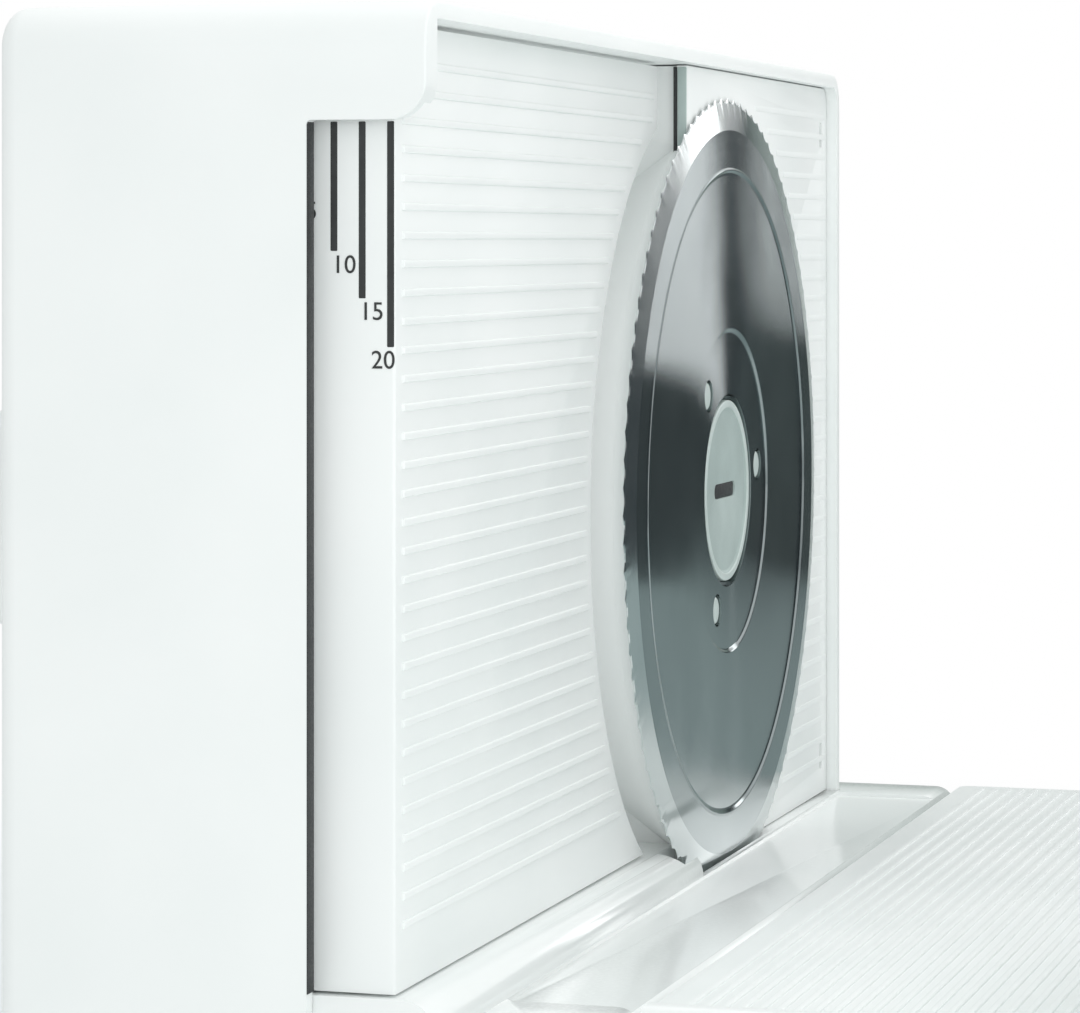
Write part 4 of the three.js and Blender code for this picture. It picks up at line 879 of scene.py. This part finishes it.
plastics = {
    # injection-moulded ABS from a finely spark-eroded mould: a cool white satin
    "white": {"name": "moulded white ABS",
              "light": "#F5F8F7", "dark": "#F0F4F3", "cloud": 40, "ior": 1.53, "smooth": 0.34,
              "rough": 0.44, "grain": 0.5, "depth": 0.02, "strength": 0.25},
    # the base comes from a polished mould, so the blade shows in it
    "gloss": {"name": "polished white ABS",
              "light": "#F5F8F7", "dark": "#F0F4F3", "cloud": 40, "ior": 1.53, "smooth": 0.1,
              "rough": 0.18, "grain": 0.8, "depth": 0.01, "strength": 0.12},
    # the blade's screw, the buttons and the bottom cover are grey ABS, duller than the casing
    "grey": {"name": "moulded grey ABS",
             "light": "#AFBEBB", "dark": "#A2B1AE", "cloud": 12, "ior": 1.53, "smooth": 0.4,
             "rough": 0.55, "grain": 0.4, "depth": 0.03, "strength": 0.35},
    # the screw's rim and the pins, the same ABS made paler: on the rim the paler tone is a painted highlight
    "pale": {"name": "pale grey ABS with painted rim highlight",
             "light": "#CBD7D4", "dark": "#C0CCC9", "cloud": 8, "ior": 1.53, "smooth": 0.3,
             "rough": 0.45, "grain": 0.4, "depth": 0.02, "strength": 0.3},
    # acetal of the gears: pale and waxy, with a soft shine
    "acetal": {"name": "moulded acetal",
               "light": "#DCD9CB", "dark": "#D2CEBE", "cloud": 9, "ior": 1.48, "smooth": 0.3,
               "rough": 0.42, "grain": 0.6, "depth": 0.02, "strength": 0.2},
    # black nylon for the micro switch, the terminals and the cable gland, and for the dark strips of painted shade
    "nylon": {"name": "moulded black nylon",
              "light": "#2A2C2D", "dark": "#222425", "cloud": 8, "ior": 1.53, "smooth": 0.42,
              "rough": 0.6, "grain": 0.4, "depth": 0.04, "strength": 0.4},
    # moulded rubber feet: matt, with a bloom of paler dust
    "rubber": {"name": "moulded black rubber",
               "light": "#2E3030", "dark": "#1E2020", "cloud": 5, "ior": 1.52, "smooth": 0.65,
               "rough": 0.85, "grain": 0.5, "depth": 0.06, "strength": 0.5},
    # pad-printed ink of the thickness scale, slightly uneven in its black
    "ink": {"name": "pad-printed black ink",
            "light": "#2E3131", "dark": "#262929", "cloud": 2, "ior": 1.5, "smooth": 0.35,
            "rough": 0.5, "grain": 0.2, "depth": 0.01, "strength": 0.2},
}

metals = {
    # turned and zinc-plated steel: fine rings left by the tool along the bar
    "plated": {"name": "turned zinc-plated steel",
               "light": "#B4B8B8", "dark": "#9DA2A2", "stretch": (8, 1, 1), "size": 3,
               "smooth": 0.25, "rough": 0.38, "depth": 0.02, "strength": 0.3},
    # sintered bronze: open-pored and oily, so it is dull
    "bronze": {"name": "sintered bronze",
               "light": "#A87C48", "dark": "#8E6537", "stretch": (1, 1, 1), "size": 0.6,
               "smooth": 0.4, "rough": 0.6, "depth": 0.02, "strength": 0.3},
    # enamelled copper wire beside varnished laminations
    "copper": {"name": "enamelled copper wire",
               "light": "#B5673C", "dark": "#74432B", "stretch": (14, 1, 1), "size": 6,
               "smooth": 0.3, "rough": 0.5, "depth": 0.02, "strength": 0.3},
}


def plastic(values):
    material, tree, shader = startMaterial(values["name"], {"IOR": values["ior"]})
    tone = tinted(tree, grain(tree, values["cloud"], noiseDetail["cloud"]), values)
    fine = grain(tree, values["grain"], noiseDetail["grain"])
    finishSurface(tree, shader, tone, fine, fine, values)
    return material


def metal(values):
    material, tree, shader = startMaterial(values["name"], {"Metallic": 1})
    marks = grain(tree, values["size"], noiseDetail["marks"], values["stretch"])
    finishSurface(tree, shader, tinted(tree, marks, values), marks, marks, values)
    return material


# Stainless blade steel, face-ground on a turning table: fine rings stretch every reflection towards the axle. The
# ground bevel is painted brighter than the face, a painted highlight. The rings are drawn 0.35 mm wide, because
# the real ones are too fine to show

bladeSteel = {
    "light": "#A3ACAD", "dark": "#8B9596", "smooth": 0.12, "rough": 0.17, "anisotropic": 1,
    "rotation": 0.25, "depth": 0.004, "strength": 0.3,
    "rings": {"width": 0.35, "detail": 6}, "smear": {"size": 18, "detail": 3},
    # the bevel's lighter tone is a painted highlight
    "bevel": {"from": 78, "light": "#D6DCDC", "dark": "#C6CDCD"},
}


def radiusFromAxle(tree):
    # the distance from the blade's axle in millimetres, from the object's own coordinates
    coordinates = addNode(tree, "ShaderNodeTexCoord").outputs["Object"]
    moved = addNode(tree, "ShaderNodeVectorMath", {0: coordinates, 1: tuple(bladeMiddle)},
                    operation="SUBTRACT")
    flat = addNode(tree, "ShaderNodeVectorMath", {0: moved.outputs[0], 1: (0, 1, 1)},
                   operation="MULTIPLY")
    length = addNode(tree, "ShaderNodeVectorMath", {0: flat.outputs[0]}, operation="LENGTH")
    return addNode(tree, "ShaderNodeMath", {0: length.outputs["Value"], 1: 1 / mm},
                   operation="MULTIPLY").outputs[0]


def makeBladeSteel():
    values = bladeSteel
    material, tree, shader = startMaterial("ground blade steel", {
        "Metallic": 1, "Anisotropic": values["anisotropic"],
        "Anisotropic Rotation": values["rotation"]})
    radius = radiusFromAxle(tree)
    across = addNode(tree, "ShaderNodeCombineXYZ", {"X": radius}).outputs[0]
    rings = addNode(tree, "ShaderNodeTexNoise", {
        "Vector": across, "Scale": 1 / values["rings"]["width"],
        "Detail": values["rings"]["detail"]}).outputs[0]
    smear = grain(tree, values["smear"]["size"], values["smear"]["detail"])
    both = addNode(tree, "ShaderNodeMath", {0: rings, 1: smear}, operation="ADD").outputs[0]
    marks = addNode(tree, "ShaderNodeMath", {0: both, 1: 0.5}, operation="MULTIPLY").outputs[0]
    # the mask that paints the bevel lighter than the face, a painted highlight
    bevelHighlightMask = addNode(tree, "ShaderNodeMath", {0: radius, 1: values["bevel"]["from"]},
                      operation="GREATER_THAN").outputs[0]
    tone = addNode(tree, "ShaderNodeMix", {
        0: bevelHighlightMask, 6: tinted(tree, marks, values), 7: tinted(tree, marks, values["bevel"]),
    }, data_type="RGBA").outputs[2]
    finishSurface(tree, shader, tone, marks, rings, values)
    tangent = addNode(tree, "ShaderNodeTangent", direction_type="RADIAL", axis="X")
    tree.links.new(tangent.outputs[0], shader.inputs["Tangent"])
    return material


# Stage: near the slicer the floor takes its shadow, and further out the camera sees plain white

stage = {
    "floorSize": 6, "floor": "#F7F9F9", "floorRough": 0.9, "fadeFrom": 0.28, "fadeTo": 0.5,
    "white": "#FFFFFF", "sky": "#F6F8F8", "skyStrength": 0.8,
}


def shownWhite(tree, surface, *rays):
    # white to the named kinds of ray, and the given surface to everything else
    path = addNode(tree, "ShaderNodeLightPath")
    seen = path.outputs[rays[0]]
    for ray in rays[1:]:
        seen = addNode(tree, "ShaderNodeMath", {0: seen, 1: path.outputs[ray]},
                       operation="MAXIMUM").outputs[0]
    white = addNode(tree, "ShaderNodeEmission", {"Color": colour(stage["white"]), "Strength": 1})
    mix = addNode(tree, "ShaderNodeMixShader", {0: seen, 1: surface, 2: white.outputs[0]})
    return seen, mix


def makeFloor():
    deselect()
    bpy.ops.mesh.primitive_plane_add(size=stage["floorSize"], location=(0, 0, 0))
    floor = named("floor")
    material, tree, shader = startMaterial("painted white floor", {
        "Base Color": colour(stage["floor"]), "Roughness": stage["floorRough"]})
    seen, mix = shownWhite(tree, shader.outputs[0], "Is Camera Ray")
    coordinates = addNode(tree, "ShaderNodeTexCoord").outputs["Object"]
    reach = addNode(tree, "ShaderNodeVectorMath", {0: coordinates}, operation="LENGTH")
    fade = addNode(tree, "ShaderNodeMapRange", {
        "Value": reach.outputs["Value"], "From Min": stage["fadeFrom"],
        "From Max": stage["fadeTo"]}, interpolation_type="SMOOTHSTEP")
    both = addNode(tree, "ShaderNodeMath", {0: seen, 1: fade.outputs[0]}, operation="MULTIPLY")
    tree.links.new(both.outputs[0], mix.inputs[0])
    tree.links.new(mix.outputs[0], tree.nodes["Material Output"].inputs["Surface"])
    floor.data.materials.append(material)


def makeSky():
    world = bpy.data.worlds.new("studio")
    bpy.context.scene.world = world
    world.use_nodes = True
    tree = world.node_tree
    background = tree.nodes["Background"]
    background.inputs["Color"].default_value = colour(stage["sky"])
    background.inputs["Strength"].default_value = stage["skyStrength"]
    _, mix = shownWhite(tree, background.outputs[0], "Is Camera Ray", "Is Glossy Ray",
                        "Is Transmission Ray")
    tree.links.new(mix.outputs[0], tree.nodes["World Output"].inputs["Surface"])
    print("stage set")


# Cards stand round the slicer and show only in reflections, so that the blade has something dark
# and something bright to show. Azimuth is in degrees from +Y towards +X

cards = {
    "dark_card": {"azimuth": (6, 75), "distance": 1250, "z": (-119, 190), "tone": "#3D4447",
                  "strength": 1},
    "grey_card": {"azimuth": (-60, 9), "distance": 1100, "z": (-119, 290), "tone": "#86948F",
                  "strength": 1},
    "light_card": {"azimuth": (15.5, 21), "distance": 1000, "z": (0, 280), "tone": "#FFFFFF",
                   "strength": 2.8},
}
floorCard = {"middle": (300, 820, -119.5), "size": (1100, 1250), "tone": "#A0AFAF", "strength": 1}


def showInReflections(card, values):
    material = bpy.data.materials.new(card.name)
    material.use_nodes = True
    tree = material.node_tree
    glow = addNode(tree, "ShaderNodeEmission", {
        "Color": colour(values["tone"]), "Strength": values["strength"]})
    tree.links.new(glow.outputs[0], tree.nodes["Material Output"].inputs["Surface"])
    card.data.materials.append(material)
    card.visible_camera = False
    card.visible_diffuse = False
    card.visible_shadow = False
    card.visible_transmission = False


def makeCards():
    for name, values in cards.items():
        deselect()
        bpy.ops.mesh.primitive_plane_add(size=1)
        card = named(name)
        (left, right), (low, high) = values["azimuth"], values["z"]
        corners = [(left, low), (right, low), (left, high), (right, high)]
        for vertex, (azimuth, z) in zip(card.data.vertices, corners):
            turn = math.radians(azimuth)
            vertex.co = place(values["distance"] * math.sin(turn),
                              values["distance"] * math.cos(turn), z)
        showInReflections(card, values)
    deselect()
    bpy.ops.mesh.primitive_plane_add(size=1, location=place(*floorCard["middle"]))
    card = named("floor_card")
    card.scale = [side * mm for side in floorCard["size"]] + [1]
    showInReflections(settle(card), floorCard)
    print("cards set")


# Lamps: a large soft light beyond the operator's right shoulder, a lower one across the table,
# and one overhead. All face the blade's middle

lamps = {
    "key": {"place": (700, -500, 520), "size": 0.9, "power": 1.35, "tone": "#FFFFFF"},
    "fill": {"place": (330, -780, -50), "size": 0.5, "power": 1.1, "tone": "#FFFFFF"},
    "top": {"place": (120, 60, 900), "size": 0.7, "power": 2.7, "tone": "#FFFFFF"},
}


def makeLamps():
    for name, values in lamps.items():
        start = place(*values["place"])
        aim = (bladeMiddle - start).to_track_quat("-Z", "Y").to_euler()
        bpy.ops.object.light_add(type="AREA", location=start, rotation=aim)
        lamp = bpy.context.object
        lamp.name = name
        lamp.data.size = values["size"]
        lamp.data.energy = values["power"]
        lamp.data.color = colour(values["tone"])[:3]
        lamp.visible_glossy = False
    print("lamps set")


bpy.context.scene.view_settings.view_transform = "Standard"
makeCamera()
makeFloor()
makeSky()
makeCards()
makeLamps()

finish = {name: plastic(values) for name, values in plastics.items()}
finish.update({name: metal(values) for name, values in metals.items()})
finish["blade"] = makeBladeSteel()
print("materials made", len(finish))

dress(makeBlade(), finish["blade"], "blade_group", "blade_steel", "blade")
dress(makeHub(), finish["grey"], "blade_group", "grey_plastic", "blade_screw")
dress(makeScrewRim(), finish["pale"], "blade_group", "grey_plastic")
dress(makePins(), finish["pale"], "blade_group", "gear_plastic",
      "drive_pin_1", "drive_pin_2", "drive_pin_3")
print("blade, screw and pins made")
dress(makeHousing(), finish["white"], "casing", "white_plastic", "housing_shell")
dress(makeMotorCover(), finish["white"], "casing", "white_plastic", "motor_cover")
dress(makeBowl(), finish["white"], "casing", "white_plastic", "blade_bowl")
print("casing made")
dress(makeStopPlate(), finish["white"], "fence_group", "white_plastic", "stop_plate")
dress(makeScale(), finish["ink"], "fence_group", "dark_plastic")
# strips of painted shade at the window's edge, beside and on the panel's near edge, and in the screw's slot
for name, values in shadeStrips.items():
    dress(makeShadeStrip(name, values), finish[values["finish"]], values["body"], values["slot"])
print("stop plate, scale and trim made")
dress(makeBase(), finish["gloss"], "casing", "white_plastic", "base_plate")
dress(makeCarriage(), finish["white"], "carriage_group", "white_plastic", "carriage_plate")
print("base and carriage made")
for node, values in moulded.items():
    dress(makeMoulded(node), finish[values["finish"]], values["body"], values["slot"], node)
for i, piece in enumerate(makeFeet()):
    dress(piece, finish["rubber"], "casing", "foot_rubber", f"foot_{i + 1}")
for piece, node in zip(makeScrews(), screw["places"]):
    dress(piece, finish["plated"], "casing", "bright_steel", node)
for name, values in buttons.items():
    dress(makeButton(name, values), finish["grey"], values["body"], "grey_plastic",
          values["node"])
print("smaller pieces made")

# The hidden drive keeps its CAD shapes, each in its own stuff
stuff = {
    "white_plastic": "white", "grey_plastic": "grey", "dark_plastic": "nylon",
    "gear_plastic": "acetal", "foot_rubber": "rubber", "blade_steel": "blade",
    "bright_steel": "plated", "bearing_bronze": "bronze", "winding_copper": "copper",
}
for row in frame["record"]["subparts"]:
    mesh = frame["nodes"][row["node"]].data
    mesh.materials.clear()
    mesh.materials.append(finish[stuff[row["material_slot"]]])
